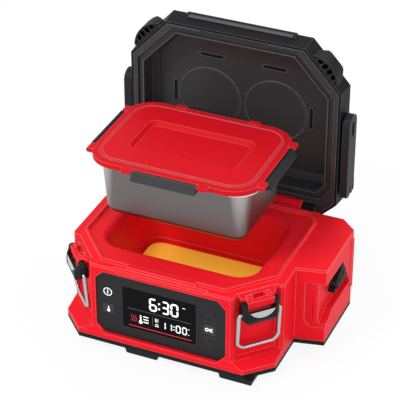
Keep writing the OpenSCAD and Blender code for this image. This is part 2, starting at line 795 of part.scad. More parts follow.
module control_board() color(green) placed() {
    along_y(board_y, board_y + 1.6) difference() {
        translate([4.5 - panel_hx, board_z[0]]) square([2 * panel_hx - 9, board_z[1] - board_z[0]]);
        translate([-20, board_z[0] - 11]) square([40, 13]);
    }
    for (at = [power_at, temp_at, up_at, ok_at, down_at])
        rod_y(at[0], board_y - 0.5, board_y, at[1], 2.2);
    // the display module behind the window
    box(display_x - display_hx + 4, display_x + display_hx - 4, ledge_y + 0.4, board_y, display_z0 + 4,
        display_z1 - 4);
    // the processor and the connector on the back
    box(-30, -16, board_y + 1.6, board_y + 3, 50, 64);
    box(20, 44, board_y + 1.6, board_y + 7, 44, 50);
}

module power_board() color(green) placed() {
    z = base_z + 2.5;
    hx = body_hx - 57;
    y0 = front_y + 52.9;
    y1 = back_y - 46.9;
    for (x = [8 - hx, hx - 8], y = [y0 + 8, y1 - 8]) translate([x, y, z]) cylinder(h = 4, r = 3);
    box(-hx, hx, y0, y1, z + 4, z + 5.6);
    translate([-40, 20, z + 5.6]) cylinder(h = 11, r = 6);
    translate([-22, 20, z + 5.6]) cylinder(h = 11, r = 6);
    box(10, 40, 8, 34, z + 5.6, z + 13);
    for (x = [30:4.5:52]) box(x, x + 1.4, -36, -8, z + 5.6, z + 15);
    box(28, 56, -36, -8, z + 5.6, z + 7.4);
}

// ---------- battery terminals ----------

block_x = [body_hx + bay_inner + 0.1, bay_x1 - 0.4];
block_y = pocket_y1 - 45.8;
block_z = [pocket_z0 + 24, pocket_z0 + 37];

// A point on the pocket's back wall at the height z
function pocket_back(z) = [pocket_y1 - 0.1 - pocket_lean * (z - pocket_z0 - pocket_rise)
    / (pocket_z1 - 2 - pocket_z0 - pocket_rise), z];

// The block that stands on the pocket's back wall, with slots in its front for the contacts
module battery_terminal_block() color(black) placed() {
    x0 = block_x[0];
    x1 = block_x[1];
    z0 = block_z[0];
    z1 = block_z[1];
    rib_step = [9, 3, 2];
    difference() {
        union() {
            along_x(x0, x1) polygon([[block_y, z0], [block_y, z1], [block_y + 6, z1], [block_y + 8, z1 + 4],
                [block_y + 15, z1 + 5], pocket_back(pocket_z1 - 3), pocket_back(z0 - 1),
                [block_y + 22, z0 - 1]]);
            // the front lip and the stepped ribs on the open side
            box(x0, x1, block_y - 3.5, block_y + 0.5, z0, z0 + 4.5);
            for (k = [0:2]) {
                y = block_y + 4 + rib_step[0] * k;
                box(x1 - 1, x1 + 0.9, y, y + 4.5, z0 + 1 + rib_step[1] * k, z1 - 2 + rib_step[2] * k);
            }
        }
        for (x = contact_x) box(x - 0.3, x + 1.2, block_y - over, block_y + 18, z0 + 5.5, z1 - 2);
    }
}

contact_x = [block_x[0] + 1.6, block_x[0] + 4.6];
module battery_contacts() color(steel) placed()
    for (x = contact_x) box(x, x + 0.9, block_y + 1.5, block_y + 18, block_z[0] + 6, block_z[1] - 2.5);

// ---------- hinge ----------

module hinge_pin() color(steel) placed()
    rod_x(-barrel_hx - knuckle_l, barrel_hx + knuckle_l, hinge_y, hinge_z, hinge_pin_r);

module lever_pins() color(steel) placed()
    for (s = [-1, 1]) on_corner(s) rod_x(-lever_hx + 0.2, lever_hx - 0.2, -lever_out, lever_z, lever_pin_r);

// ---------- lid ----------

module knuckle_lug(side, grow) {
    x0 = barrel_hx + 0.6 - grow;
    x1 = barrel_hx + knuckle_l + grow;
    mirror([side < 0 ? 1 : 0, 0, 0]) {
        rod_x(x0, x1, hinge_y, hinge_z, knuckle_r + grow);
        box(x0, x1, hinge_y - knuckle_r - grow, lid_back - 1, rim_z, rim_z + 4.5 + grow);
    }
}

module lid_hollow() {
    hull() {
        prism(lid_o, rim_grow - lid_wall, rim_z - over, rim_z);
        prism(lid_o, rim_grow + lid_flare - lid_wall, lid_mid_z - 0.3, lid_mid_z - 0.2);
        prism(lid_o, rim_grow + lid_flare - lid_dome - 1, lid_top_z - lid_wall - 0.1, lid_top_z - lid_wall);
    }
}

module barrel_clearance() {
    rod_x(-barrel_hx - 0.6, barrel_hx + 0.6, hinge_y, hinge_z, barrel_r + 0.6);
}

grip_in = 60.3;
module lid_shell() color(black) placed() opened() {
    difference() {
        union() {
            hull() {
                prism(lid_o, rim_grow, rim_z, rim_z + 0.1);
                prism(lid_o, rim_grow + lid_flare, lid_mid_z, lid_mid_z + 0.1);
                prism(lid_o, rim_grow + lid_flare - lid_dome, lid_top_z - 0.1, lid_top_z);
            }
            // grip ridge along the front
            along_x(grip_in - body_hx, body_hx - grip_in) polygon([[front_y - 2, lid_mid_z - 9],
                [front_y - 5.2, lid_mid_z - 6.5], [front_y - 5.2, lid_mid_z - 1.5],
                [front_y - 2, lid_mid_z + 1]]);
        }
        difference() {
            lid_hollow();
            // bosses that hold the handle's pins
            for (s = [-1, 1]) mirror([s < 0 ? 1 : 0, 0, 0])
                rod_x(rib_hx + 4, lid_side_x, handle_y, handle_z, handle_pin_r + 1.6);
        }
        barrel_clearance();
        for (s = [-1, 1]) mirror([s < 0 ? 1 : 0, 0, 0])
            rod_x(rib_hx + 5, lid_side_x + over, handle_y, handle_z, handle_pin_r + 0.02);
    }
    for (s = [-1, 1]) difference() {
        knuckle_lug(s, 0);
        rod_x(-barrel_hx - 2 * knuckle_l, barrel_hx + 2 * knuckle_l, hinge_y, hinge_z, hinge_pin_r + run_fit);
    }
}

// Raised figure on the liner's ceiling: two round bosses side by side
module ceiling_rings() {
    ring_x = 40;
    ring_r = 36;
    for (s = [-1, 1]) translate([s * ring_x, well_y, ceiling_z - 1]) linear_extrude(1.2) difference() {
        circle(ring_r + 2.4);
        circle(ring_r);
    }
}

module lid_liner() color(grey) placed() opened() {
    difference() {
        union() {
            prism(lid_o, rim_grow - lid_wall - 0.1, rim_z, flange_z);
            hull() {
                prism(rib_o, liner_in + liner_wall, rim_z, lid_mid_z - 1.5);
                prism(rib_o, liner_in + liner_wall - 6, ceiling_z, ceiling_z + liner_wall);
            }
        }
        hull() {
            prism(rib_o, liner_in, rim_z - over, lid_mid_z - 2.4);
            prism(rib_o, liner_in - 6, ceiling_z - 0.1, ceiling_z);
        }
        ring(rib_o, seal_in - 0.2, seal_out + 0.2, rim_z - over, groove_z);
        box(-lug_hx - 0.6, lug_hx + 0.6, rib_o[1] - 5.1, rib_o[1] - 2, rim_z - over, seal_z);
        barrel_clearance();
        for (s = [-1, 1]) knuckle_lug(s, 0.3);
        at_lid_screws() {
            translate([0, 0, -over]) cylinder(h = flange_z - rim_z + 2 * over, r = lid_screw_r + 0.02);
            translate([0, 0, -over]) cylinder(h = lid_head_h + 0.4 + over, r = lid_head_r + 0.2);
        }
    }
    ceiling_rings();
}

// Screws that hold the liner: on the corner flanges, along the sides and at the back
module at_lid_screws() {
    for (s = [-1, 1]) {
        for (x = [-20, 20]) on_corner(s) translate([x, 6.2, rim_z]) children();
        for (y = [rib_o[1] + 66.9, rib_o[2] - 17.4]) translate([s * (body_hx - 4.9), y, rim_z]) children();
        translate([s * 40, lid_back - 7, rim_z]) children();
    }
}

lid_screw_r = 1.3;
lid_head_r = 1.9;
lid_head_h = 1.8;
module lid_screws() color(steel) placed() opened()
    at_lid_screws() {
        translate([0, 0, 0.4]) cylinder(h = lid_head_h, r = lid_head_r);
        translate([0, 0, 1]) cylinder(h = flange_z - rim_z, r = lid_screw_r);
    }

module lid_seal() color(dark) placed() opened()
    ring(rib_o, seal_in, seal_out, seal_z, groove_z);

// A keeper seen from above: a D that bulges outwards, shrunk by d
module keeper_plan(d) {
    bulge = 32;
    intersection() {
        translate([0, bulge - keeper_out]) circle(bulge - d);
        translate([d - keeper_hx, -keeper_out]) square([2 * (keeper_hx - d), 2 * keeper_out]);
    }
}

// A keeper: a hollow hook with ribs under it, and a seat across its top for the bail
module keeper() {
    seat = keeper_seat_z;
    face = rim_grow + lid_flare * (seat - rim_z) / lid_side_h;
    lip_h = 1.2;
    corner_cut = bail_r - wire_r;
    lip_in = bail_out + wire_r + 0.85;
    skin = 1.8;
    back = 3;
    difference() {
        intersection() {
            translate([0, 0, rim_z]) linear_extrude(seat - rim_z + lip_h) keeper_plan(0);
            // its upper corners, cut to clear the bail's round corners
            along_y(-keeper_out - over, over) polygon([[-keeper_hx, rim_z - over], [keeper_hx, rim_z - over],
                [keeper_hx, seat - corner_cut], [keeper_hx - corner_cut, seat],
                [keeper_hx - corner_cut - 1, seat + lip_h], [corner_cut + 1 - keeper_hx, seat + lip_h],
                [corner_cut - keeper_hx, seat], [-keeper_hx, seat - corner_cut]]);
            // its section, with the lip outside the seat and a back that lies on the lid
            along_x(-keeper_hx, keeper_hx) polygon([[-rim_grow - 0.02, rim_z], [-keeper_out, rim_z],
                [-keeper_out, seat - 1], [1.5 - keeper_out, seat + lip_h], [-lip_in - 0.5, seat + lip_h],
                [-lip_in, seat], [-face - 0.02, seat]]);
        }
        // hollow underneath, with five ribs left standing
        difference() {
            translate([0, 0, rim_z - over]) linear_extrude(seat - rim_z - 3) keeper_plan(skin);
            for (x = [-15:7.5:15]) box(x - 0.8, x + 0.8, -keeper_out, 0, rim_z + 1, seat);
            box(-keeper_hx, keeper_hx, -back, keeper_out, rim_z - 2 * over, seat);
        }
    }
}

module left_keeper() color(dark) placed() opened() on_corner(-1) keeper();
module right_keeper() color(dark) placed() opened() on_corner(1) keeper();

// ---------- carry handle ----------

grip_y = handle_y + arm_l;
grip_z = lid_top_z + grip_r + 1.2;

// One arm seen from the side: a broad strap with a round end at its pivot
module arm_profile() {
    r = arm_w / 2;
    end_r = 3;
    translate([handle_y, handle_z]) circle(r);
    translate([handle_y, handle_z - r]) square([arm_end - end_r - handle_y, arm_w]);
    translate([arm_end - end_r - 0.5, handle_z - r + end_r]) square([end_r + 0.5, arm_w - end_r]);
    translate([arm_end - end_r, handle_z - r + end_r]) circle(end_r);
}

// The shoulder that carries an arm over the lid's sloped border to the grip
module shoulder() {
    gap = 0.8;
    thick = 12;
    low = [arm_x, lid_mid_z + gap];
    high = [lid_side_x - lid_dome, lid_top_z + gap];
    top_z = handle_z + arm_w / 2;
    along_y(grip_y - grip_r, grip_y + grip_r) polygon([[arm_x, top_z - 9], [arm_x + arm_t, top_z - 9],
        [arm_x + arm_t, top_z + 1], [arm_x + arm_t - 3, top_z + 5], [high[0] - 1, high[1] + thick],
        [high[0] - 6, high[1] + thick], [high[0] - 6, high[1]], high, low]);
}

module carry_handle() color(black) placed() opened() {
    for (s = [-1, 1]) mirror([s < 0 ? 1 : 0, 0, 0]) difference() {
        union() {
            along_x(arm_x, arm_x + arm_t) arm_profile();
            shoulder();
        }
        rod_x(arm_x - over, arm_x + arm_t + over, handle_y, handle_z, handle_pin_r + run_fit);
        // the long slot below the pivot, and two notches in the arm's end
        rod_x(arm_x + arm_t - slot_in, arm_x + arm_t + over, handle_y, handle_z, slot_r);
        rod_x(arm_x + arm_t - slot_in, arm_x + arm_t + over, handle_y + 12, handle_z, slot_r);
        box(arm_x + arm_t - slot_in, arm_x + arm_t + over, handle_y, handle_y + 12, handle_z - slot_r,
            handle_z + slot_r);
        for (z = [-1, 7]) box(arm_x + arm_t - 2.2, arm_x + arm_t + over, grip_y, arm_end + over,
            handle_z + z, handle_z + z + 4);
    }
    rod_x(lid_dome + 5 - lid_side_x, lid_side_x - lid_dome - 5, grip_y, grip_z, grip_r);
}
arm_end = grip_y + 9.5;
slot_in = 3.4;
slot_r = 3.9;

module handle_pins() color(dark) placed() opened()
    for (s = [-1, 1]) mirror([s < 0 ? 1 : 0, 0, 0]) {
        rod_x(rib_hx + 5.2, arm_x + arm_t - slot_in + 0.6, handle_y, handle_z, handle_pin_r);
        rod_x(arm_x + arm_t - slot_in + 0.2, arm_x + arm_t - slot_in + 1, handle_y, handle_z,
            handle_pin_r + 0.5);
    }

// ---------- latches ----------

lever_back = 1.3;
plate_out = bracket_out + 5.2;
plate_in = plate_out - 3.4;
lever_low_z = lever_z - lever_l;
plate_top_z = lever_z - 5.2;
pad_z = [lever_z - 13, lever_z - 5.6];
pad_depth = 0.8;

// The side of the lever: a round end at the pivot, and a broad cheek below it
module lever_cheek() {
    ear_r = 4.6;
    translate([-lever_out, lever_z]) circle(ear_r);
    polygon([[-lever_out - ear_r, lever_z], [-plate_out + 1, plate_top_z], [-plate_out, plate_top_z - 5],
        [-plate_out, lever_low_z + 5], [-plate_out + 1.6, lever_low_z + 1], [-plate_out + 4, lever_low_z],
        [lever_back - 3, lever_low_z + 2.2], [lever_back, lever_low_z + 5], [lever_back, lever_z - 5],
        [-lever_out + ear_r, lever_z]]);
}

// The lever's front wall and the ledge that closes it towards the bracket
module lever_front() {
    polygon([[-plate_out + 1, plate_top_z], [-plate_out, plate_top_z - 5], [-plate_out, lever_low_z + 5],
        [-plate_out + 1.6, lever_low_z + 1], [-plate_out + 4, lever_low_z],
        [-plate_out + 5, lever_low_z + 2.2], [-plate_in, lever_low_z + 6],
        [-plate_in, plate_top_z - 2.4], [-bracket_out - 1.2, plate_top_z - 2.4],
        [-bracket_out - 1.2, plate_top_z]]);
}

// The curved inlay: a crescent with a straight upper edge
module crescent(d) {
    chord = 14.6;
    sag = pad_z[1] - pad_z[0];
    r = (chord * chord + sag * sag) / (2 * sag);
    intersection() {
        translate([0, pad_z[0] + r]) circle(r + d);
        translate([-lever_hx, pad_z[0] - 4]) square([2 * lever_hx, pad_z[1] - pad_z[0] + 4 + d]);
    }
}

module lever_pad_space(d) {
    intersection() {
        along_y(-plate_out - over, -plate_in + 0.5) crescent(d);
        along_x(-lever_hx, lever_hx) polygon([[-plate_out + 0.8 - d, plate_top_z],
            [-plate_out - 0.2 - d, plate_top_z - 5], [-plate_out - 0.2 - d, pad_z[0] - 2],
            [-plate_out + pad_depth + d, pad_z[0] - 2],
            [-plate_out + pad_depth + d, plate_top_z - 5], [-plate_out + 1 + pad_depth + d, plate_top_z]]);
    }
}

module lever_body() {
    // the lever's outline seen from the front and from above, with its corners cut back
    cut = 4;
    difference() {
        intersection() {
            union() {
                for (x = [-lever_hx, lever_hx - ear_t]) along_x(x, x + ear_t) lever_cheek();
                along_x(-lever_hx, lever_hx) lever_front();
            }
            along_y(-plate_out - over, lever_back + over) difference() {
                translate([-lever_hx, lever_low_z - over]) square([2 * lever_hx, lever_l + 8]);
                // the lower edge bows down towards its middle
                for (s = [-1, 1]) polygon([[s * 4, lever_low_z - 2 * over], [s * 4, lever_low_z],
                    [s * 13, lever_low_z + 0.8], [s * 18, lever_low_z + 2.6],
                    [s * (lever_hx + 1), lever_low_z + 6],
                    [s * (lever_hx + 1), lever_low_z - 2 * over]]);
            }
            translate([0, 0, lever_low_z - over]) linear_extrude(lever_l + 8)
                polygon([[-lever_hx, lever_back + over], [-lever_hx, cut + 1 - plate_out],
                    [cut - lever_hx + 1, -plate_out - 0.01],
                [lever_hx - cut - 1, -plate_out - 0.01], [lever_hx, cut + 1 - plate_out],
                [lever_hx, lever_back + over]]);
        }
        rod_x(-lever_hx - over, lever_hx + over, -lever_out, lever_z, lever_pin_r + run_fit);
        rod_x(-lever_hx - over, lever_hx + over, -bail_out, bail_z, wire_r + run_fit);
        lever_pad_space(0.05);
        // two grip grooves below the inlay
        for (z = [pad_z[0] - 3.2, pad_z[0] - 6])
            box(-11, 10, -plate_out - 1, -plate_out + 0.7, z, z + 1);
    }
}

module lever_pad() {
    lever_pad_space(0);
}

module left_lever() color(black) placed() on_corner(-1) lever_body();
module right_lever() color(black) placed() on_corner(1) lever_body();
module left_lever_pad() color(silver) placed() on_corner(-1) lever_pad();
module right_lever_pad() color(silver) placed() on_corner(1) lever_pad();

// The wire bail, hanging from its pivots: two hooked ends, two legs and the crossbar
module bail() {
    hook_r = 3;
    end_x = lever_hx - ear_t + 0.3;
    translate([0, -bail_out, bail_z]) rotate([bail_rest, 0, 0]) {
        for (s = [-1, 1]) mirror([s < 0 ? 1 : 0, 0, 0]) {
            rod_x(end_x, bail_hx - hook_r, 0, 0, wire_r);
            translate([bail_hx - hook_r, 0, -hook_r]) rotate([90, 0, 0])
                rotate_extrude(angle = 90) translate([hook_r, 0]) circle(wire_r);
            translate([bail_hx, 0, bail_r - bail_l]) cylinder(h = bail_l - bail_r - hook_r, r = wire_r);
            translate([bail_hx - bail_r, 0, bail_r - bail_l]) rotate([90, 90, 0])
                rotate_extrude(angle = 90) translate([bail_r, 0]) circle(wire_r);
        }
        rod_x(bail_r - bail_hx, bail_hx - bail_r, 0, -bail_l, wire_r);
    }
}

module left_bail() color(steel) placed() on_corner(-1) bail();
module right_bail() color(steel) placed() on_corner(1) bail();

// ---------- food container ----------

// The drawn steel tub: one profile swept round it, and a flat floor
module container_tub() color(steel) placed() lifted() in_well() {
    e = tub_edge_r;
    sweep_round(tub_cx, tub_cy) {
        difference() {
            polygon([[0, tub_z], [tub_r, tub_z], [tub_top_r, flange_top], [0, flange_top]]);
            polygon([[-over, tub_z + tub_t], [tub_r - tub_t, tub_z + tub_t],
                [tub_top_r - tub_t, flange_top + over],
                [-over, flange_top + over]]);
            // the outside of the rounded bottom edge
            translate([tub_r - e, tub_z - over]) difference() {
                square([e + over, e + over]);
                translate([-0.3, e + over]) circle(e);
            }
        }
        // the inside of that edge
        intersection() {
            translate([tub_r - e, tub_z]) square([e - tub_t / 2, e]);
            difference() {
                translate([tub_r - e - 0.3, tub_z + e]) circle(e);
                translate([tub_r - e - 0.3, tub_z + e]) circle(e - tub_t);
            }
        }
        // the rim flange with its rolled edge
        translate([tub_top_r - 0.5, flange_top - tub_t]) square([flange_w - 0.5, tub_t]);
        translate([flange_r - roll_r, flange_top - roll_r]) circle(roll_r);
    }
    translate([-tub_cx, -tub_cy, tub_z]) cube([2 * tub_cx, 2 * tub_cy, tub_t]);
}

// The ears and the clip are drawn on the front side and turned to each side; side is [half size, angle]
module on_side(k) {
    angle = [0, 180, -90, 90][k];
    out = k < 2 ? cap_hy : cap_hx;
    rotate([0, 0, angle]) translate([0, -out, 0]) children();
}

module cap_ear() {
    for (s = [-1, 1]) mirror([s < 0 ? 1 : 0, 0, 0]) {
        difference() {
            union() {
                rod_x(clip_hl + 0.5, clip_hl + ear_l, -clip_pin_out, clip_pin_z, clip_barrel_r);
                box(clip_hl + 0.5, clip_hl + ear_l, -clip_pin_out, 3, clip_pin_z - clip_barrel_r,
                    clip_pin_z + clip_barrel_r);
            }
            rod_x(clip_hl, clip_hl + ear_l - 1.5, -clip_pin_out, clip_pin_z, clip_pin_r + run_fit);
        }
    }
}

// The lid's plan drawn in by inset, from the height z0 to z1
module cap_plan(inset, z0, z1) {
    rounded_plate(cap_hx - inset, cap_hy - inset, cap_r - inset, z0, z1);
}

// The lid's sunk panel: half sizes and corner radius at its mouth, walls that lean in by draft, and its depth
module cap_panel(panel, draft, sunk) {
    hull() {
        rounded_plate(panel[0] - draft, panel[1] - draft, panel[2] - draft + 1, cap_z - sunk,
            cap_z - sunk + 0.1);
        rounded_plate(panel[0], panel[1], panel[2], cap_z, cap_z + 0.1);
    }
}

// The container's lid: a rim, a raised field inside a groove, and a sunk panel
module container_lid() color(red) placed() lifted() in_well() {
    panel = [62.3, 31.2, 9];
    draft = 4;
    rim_drop = 1.2;
    field = 7.5;
    sunk = 4.6;
    cap_t = 2.6;
    difference() {
        union() {
            cap_plan(0, cap_rim_z, cap_z - rim_drop);
            difference() {
                cap_plan(field, cap_z - rim_drop - 0.5, cap_z);
                // the fine groove just inside the field's edge
                difference() {
                    cap_plan(field + 2, cap_z - 0.6, cap_z + over);
                    cap_plan(field + 3.4, cap_z - over, cap_z + 2 * over);
                }
            }
        }
        difference() {
            cap_plan(2.5, cap_rim_z - over, cap_z - cap_t - 1);
            cap_plan(field + 2, cap_rim_z - 2 * over, cap_z);
        }
        cap_plan(field + 4, cap_rim_z - over, cap_z - cap_t);
        cap_panel(panel, draft, sunk);
    }
    difference() {
        rounded_plate(panel[0] + 2, panel[1] + 2, panel[2] + 2, cap_z - sunk - 1.8, cap_z - cap_t + 0.1);
        cap_panel(panel, draft, sunk);
    }
    for (k = [0:3]) on_side(k) cap_ear();
}

module container_gasket() color(dark) placed() lifted() in_well() difference() {
    rounded_plate(tub_cx + flange_r - 0.6, tub_cy + flange_r - 0.6, flange_r - 0.6, flange_top, cap_rim_z);
    rounded_plate(tub_cx + tub_top_r + 0.4, tub_cy + tub_top_r + 0.4, tub_top_r + 0.4, flange_top - over,
        cap_rim_z + over);
}

module clip_pins() color(steel) placed() lifted() in_well()
    for (k = [0:3], s = [-1, 1]) on_side(k) mirror([s < 0 ? 1 : 0, 0, 0])
        rod_x(clip_hl - 6, clip_hl + ear_l - 2, -clip_pin_out, clip_pin_z, clip_pin_r);

// A clip: a barrel on the pins, a flap that flares outwards, and two hooks under the tub's flange at its
// ends; the back clip's flap is upright, because the closed lid's rear wall lies close behind it
module clip(k) {
    under = flange_top - 2 * roll_r - 0.25;
    low = cap_z - clip_drop;
    top = clip_pin_z + clip_barrel_r;
    edge = k < 2 ? cap_over_y : cap_over_x;
    out = -clip_pin_out;
    flap = k == 1 ? out - clip_barrel_r : -clip_wing;
    on_side(k) difference() {
        union() {
            rod_x(-clip_hl, clip_hl, out, clip_pin_z, clip_barrel_r);
            along_x(-clip_hl, clip_hl) polygon([[out, top], [out - 1.6, top], [flap, low + 2.6],
                [flap, low + 1.2], [flap + 1.6, low + 1.2], [out - 1.2, clip_pin_z]]);
            // the hooks' legs and teeth
            for (s = [-1, 1]) mirror([s < 0 ? 1 : 0, 0, 0]) {
                along_x(clip_hl - 13, clip_hl - 1) polygon([[out - 0.6, clip_pin_z], [out - 0.6, under],
                    [edge + 1.7, under], [edge + 1.7, low + 0.7], [edge + 0.4, low], [out - 2.4, low],
                    [out - 2.6, clip_pin_z]]);
            }
        }
        for (s = [-1, 1]) mirror([s < 0 ? 1 : 0, 0, 0])
            rod_x(clip_hl - 7, clip_hl + over, out, clip_pin_z, clip_pin_r + run_fit);
    }
}

module front_clip() color(dark) placed() lifted() in_well() clip(0);
module back_clip() color(dark) placed() lifted() in_well() clip(1);
module left_clip() color(dark) placed() lifted() in_well() clip(2);
module right_clip() color(dark) placed() lifted() in_well() clip(3);

housing_shell();
well_deck();
heating_plate();
plate_gasket();
heater_element();
well_insulation();
temperature_sensor();
thermal_fuse();
base_plate();
control_bezel();
display_window();
control_board();
power_board();
battery_terminal_block();
battery_contacts();
hinge_pin();
lever_pins();
case_screws();
lid_shell();
lid_liner();
lid_seal();
left_keeper();
right_keeper();
lid_screws();
handle_pins();
carry_handle();
left_lever();
left_lever_pad();
right_lever();
right_lever_pad();
left_bail();
right_bail();
container_tub();
container_lid();
container_gasket();
clip_pins();
front_clip();
back_clip();
left_clip();
right_clip();
power_button();
temperature_button();
up_button();
ok_button();
down_button();
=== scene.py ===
"""Finish and stage for the electric lunch box: every CAD piece gets its material, and the printed figures,
grip ribs and small trim are added as surfaces worked out with numpy. Metres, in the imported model's frame."""

import math

import bpy
import numpy as np
from mathutils import Matrix, Vector


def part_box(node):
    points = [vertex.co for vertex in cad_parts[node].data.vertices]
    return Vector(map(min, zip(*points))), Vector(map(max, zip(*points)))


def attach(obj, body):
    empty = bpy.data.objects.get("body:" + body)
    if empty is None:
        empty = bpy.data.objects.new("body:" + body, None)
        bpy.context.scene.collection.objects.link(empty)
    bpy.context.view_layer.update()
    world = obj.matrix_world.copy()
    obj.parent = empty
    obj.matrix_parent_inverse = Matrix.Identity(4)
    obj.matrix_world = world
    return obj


bl_info = {
    "name": "Electric Lunch Box",
    "version": (1, 0, 0),
    "blender": (4, 5, 0),
    "location": "View3D > Sidebar > Lunch Box",
    "description": "Dresses the packed lunch box and sets its stage",
    "category": "Object",
}

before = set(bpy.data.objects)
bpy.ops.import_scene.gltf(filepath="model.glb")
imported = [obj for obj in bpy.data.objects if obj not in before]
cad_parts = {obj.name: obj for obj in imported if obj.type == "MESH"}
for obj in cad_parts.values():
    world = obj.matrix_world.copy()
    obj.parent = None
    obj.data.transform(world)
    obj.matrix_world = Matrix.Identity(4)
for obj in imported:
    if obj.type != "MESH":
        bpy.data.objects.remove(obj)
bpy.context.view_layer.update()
MM = 0.001
BODY = (22.0, 85.6)  # millimetres from the frame's origin to the middle of the body


# ---------- shader maths ----------

EDGE_GAIN = 6.0  # turns the small bend of a rounded edge into a full mask


class Value:
    """An output socket that takes part in arithmetic; each operator adds a Math node."""

    def __init__(self, graph, socket):
        self.graph = graph
        self.socket = socket

    def _math(self, operation, first, second, **settings):
        return self.graph.add("Math", {0: first, 1: second}, operation=operation, **settings)

    def __add__(self, other):
        return self._math("ADD", self, other)

    def __radd__(self, other):
        return self._math("ADD", other, self)

    def __sub__(self, other):
        return self._math("SUBTRACT", self, other)

    def __rsub__(self, other):
        return self._math("SUBTRACT", other, self)

    def __mul__(self, other):
        return self._math("MULTIPLY", self, other)

    def __rmul__(self, other):
        return self._math("MULTIPLY", other, self)

    def __truediv__(self, other):
        return self._math("DIVIDE", self, other)

    def __pow__(self, other):
        return self._math("POWER", self, other)

    def __abs__(self):
        return self.graph.add("Math", {0: self}, operation="ABSOLUTE")

    def sibling(self, place):
        """Another output of the same node."""
        return Value(self.graph, self.socket.node.outputs[place])

    def clamped(self):
        """The same value held between 0 and 1."""
        return self._math("ADD", self, 0.0, use_clamp=True)


class Graph:
    """The nodes of one material or of the world."""

    def __init__(self, owner):
        owner.use_nodes = True
        self.owner = owner
        self.tree = owner.node_tree
        self.tree.nodes.clear()

    def add(self, kind, sockets=None, output=0, **settings):
        """Adds a node of that kind with its settings, then its sockets' values or links. Gives one output."""
        node = self.tree.nodes.new("ShaderNode" + kind)
        for key, value in settings.items():
            setattr(node, key, value)
        for key, value in (sockets or {}).items():
            if isinstance(value, Value):
                self.tree.links.new(value.socket, node.inputs[key])
            else:
                node.inputs[key].default_value = value
        return Value(self, node.outputs[output]) if len(node.outputs) else None

    def place(self, scale=(1, 1, 1), turn=(0, 0, 0)):
        """Object coordinates, scaled and turned by a Mapping node."""
        here = self.add("TexCoord", output="Object")
        return self.add("Mapping", {"Vector": here, "Scale": scale, "Rotation": turn})

    def noise(self, where, scale, detail=2.0, roughness=0.5):
        """Smooth noise between 0 and 1."""
        sockets = {"Vector": where, "Scale": scale, "Detail": detail, "Roughness": roughness}
        return self.add("TexNoise", sockets)

    def shares(self, box):
        """How far across and along a node's box a point lies, each from -1 through 0 in the middle to 1."""
        low, high = box
        middle, half = (low + high) / 2, (high - low) / 2
        here = self.add("TexCoord", output="Object")
        centred = self.add("Mapping", {"Vector": here, "Location": tuple(-middle)})
        across = self.add("SeparateXYZ", {0: centred})
        return across / half.x, across.sibling(1) / half.y

    def spread(self, value, low, high):
        """Carries 0..1 to low..high."""
        return value * (high - low) + low

    def mixed(self, factor, first, second):
        """A colour between two colours. A Mix node takes its colours at inputs 6 and 7 and gives output 2."""
        return self.add("Mix", {0: factor, 6: first, 7: second}, output=2, data_type="RGBA")

    def soft_edges(self, radius):
        """Normals rounded over sharp edges, and a mask that is 1 on those edges."""
        soft = self.add("Bevel", {"Radius": radius}, samples=6)
        flat = self.add("NewGeometry", output="Normal")
        facing = self.add("VectorMath", {0: soft, 1: flat}, output="Value", operation="DOT_PRODUCT")
        edge = ((1.0 - facing) * EDGE_GAIN).clamped()
        return soft, edge

    def finish(self, **inputs):
        """A Principled shader with those inputs, joined to the output."""
        named = {key.replace("_", " "): value for key, value in inputs.items()}
        shader = self.add("BsdfPrincipled", named)
        self.add("OutputMaterial", {"Surface": shader})
        return self.owner


def new_material(name):
    """An empty graph for a new material."""
    return Graph(bpy.data.materials.new(name))


def rgba(colour, gain=1.0):
    """A colour with alpha 1, its three parts times gain."""
    return tuple(min(1.0, part * gain) for part in colour[:3]) + (1.0,)


# ---------- finishes ----------

MACHINED_STEEL = (0.5, 0.5, 0.51)
BLACK_RUBBER = (0.02, 0.02, 0.021)
CORNER_GLINT_START, CORNER_GLINT_GAIN = 0.60, 6.0  # where the painted reflection on the tub's corners begins, and how fast it gets bright


def moulded_plastic(name, colour, roughness, edge, edge_highlight, gloss=0.22, grain_depth=0.25):
    """Moulded plastic: fine grain, faint flow marks in tone and gloss, and a painted highlight that makes the
    edges lighter, rounded over edge millimetres."""
    g = new_material(name)
    here = g.place()
    soft, edges = g.soft_edges(edge * MM)
    fine = g.noise(here, 2600.0, 3.0, 0.6)
    cloud = g.noise(here, 14.0, 4.0, 0.55)
    scuff = g.noise(g.place((30, 30, 260), (0.3, 0.2, 0.6)), 4.0, 3.0, 0.6)
    tone = g.mixed(cloud, rgba(colour, 0.93), rgba(colour, 1.07))
    # painted highlight: the rounded edges are lifted toward white, as if they caught the light
    highlight_colour = tuple(part + (1.0 - part) * edge_highlight for part in colour[:3]) + (1.0,)
    base = g.mixed(edges * 0.7, tone, highlight_colour)
    rough = g.spread(cloud, roughness - 0.03, roughness + 0.03) + scuff * 0.06 - edges * 0.08
    bump = g.add("Bump", {"Strength": grain_depth, "Distance": 0.06 * MM, "Height": fine, "Normal": soft})
    return g.finish(Base_Color=base, Roughness=rough.clamped(), Normal=bump, Specular_IOR_Level=gloss)


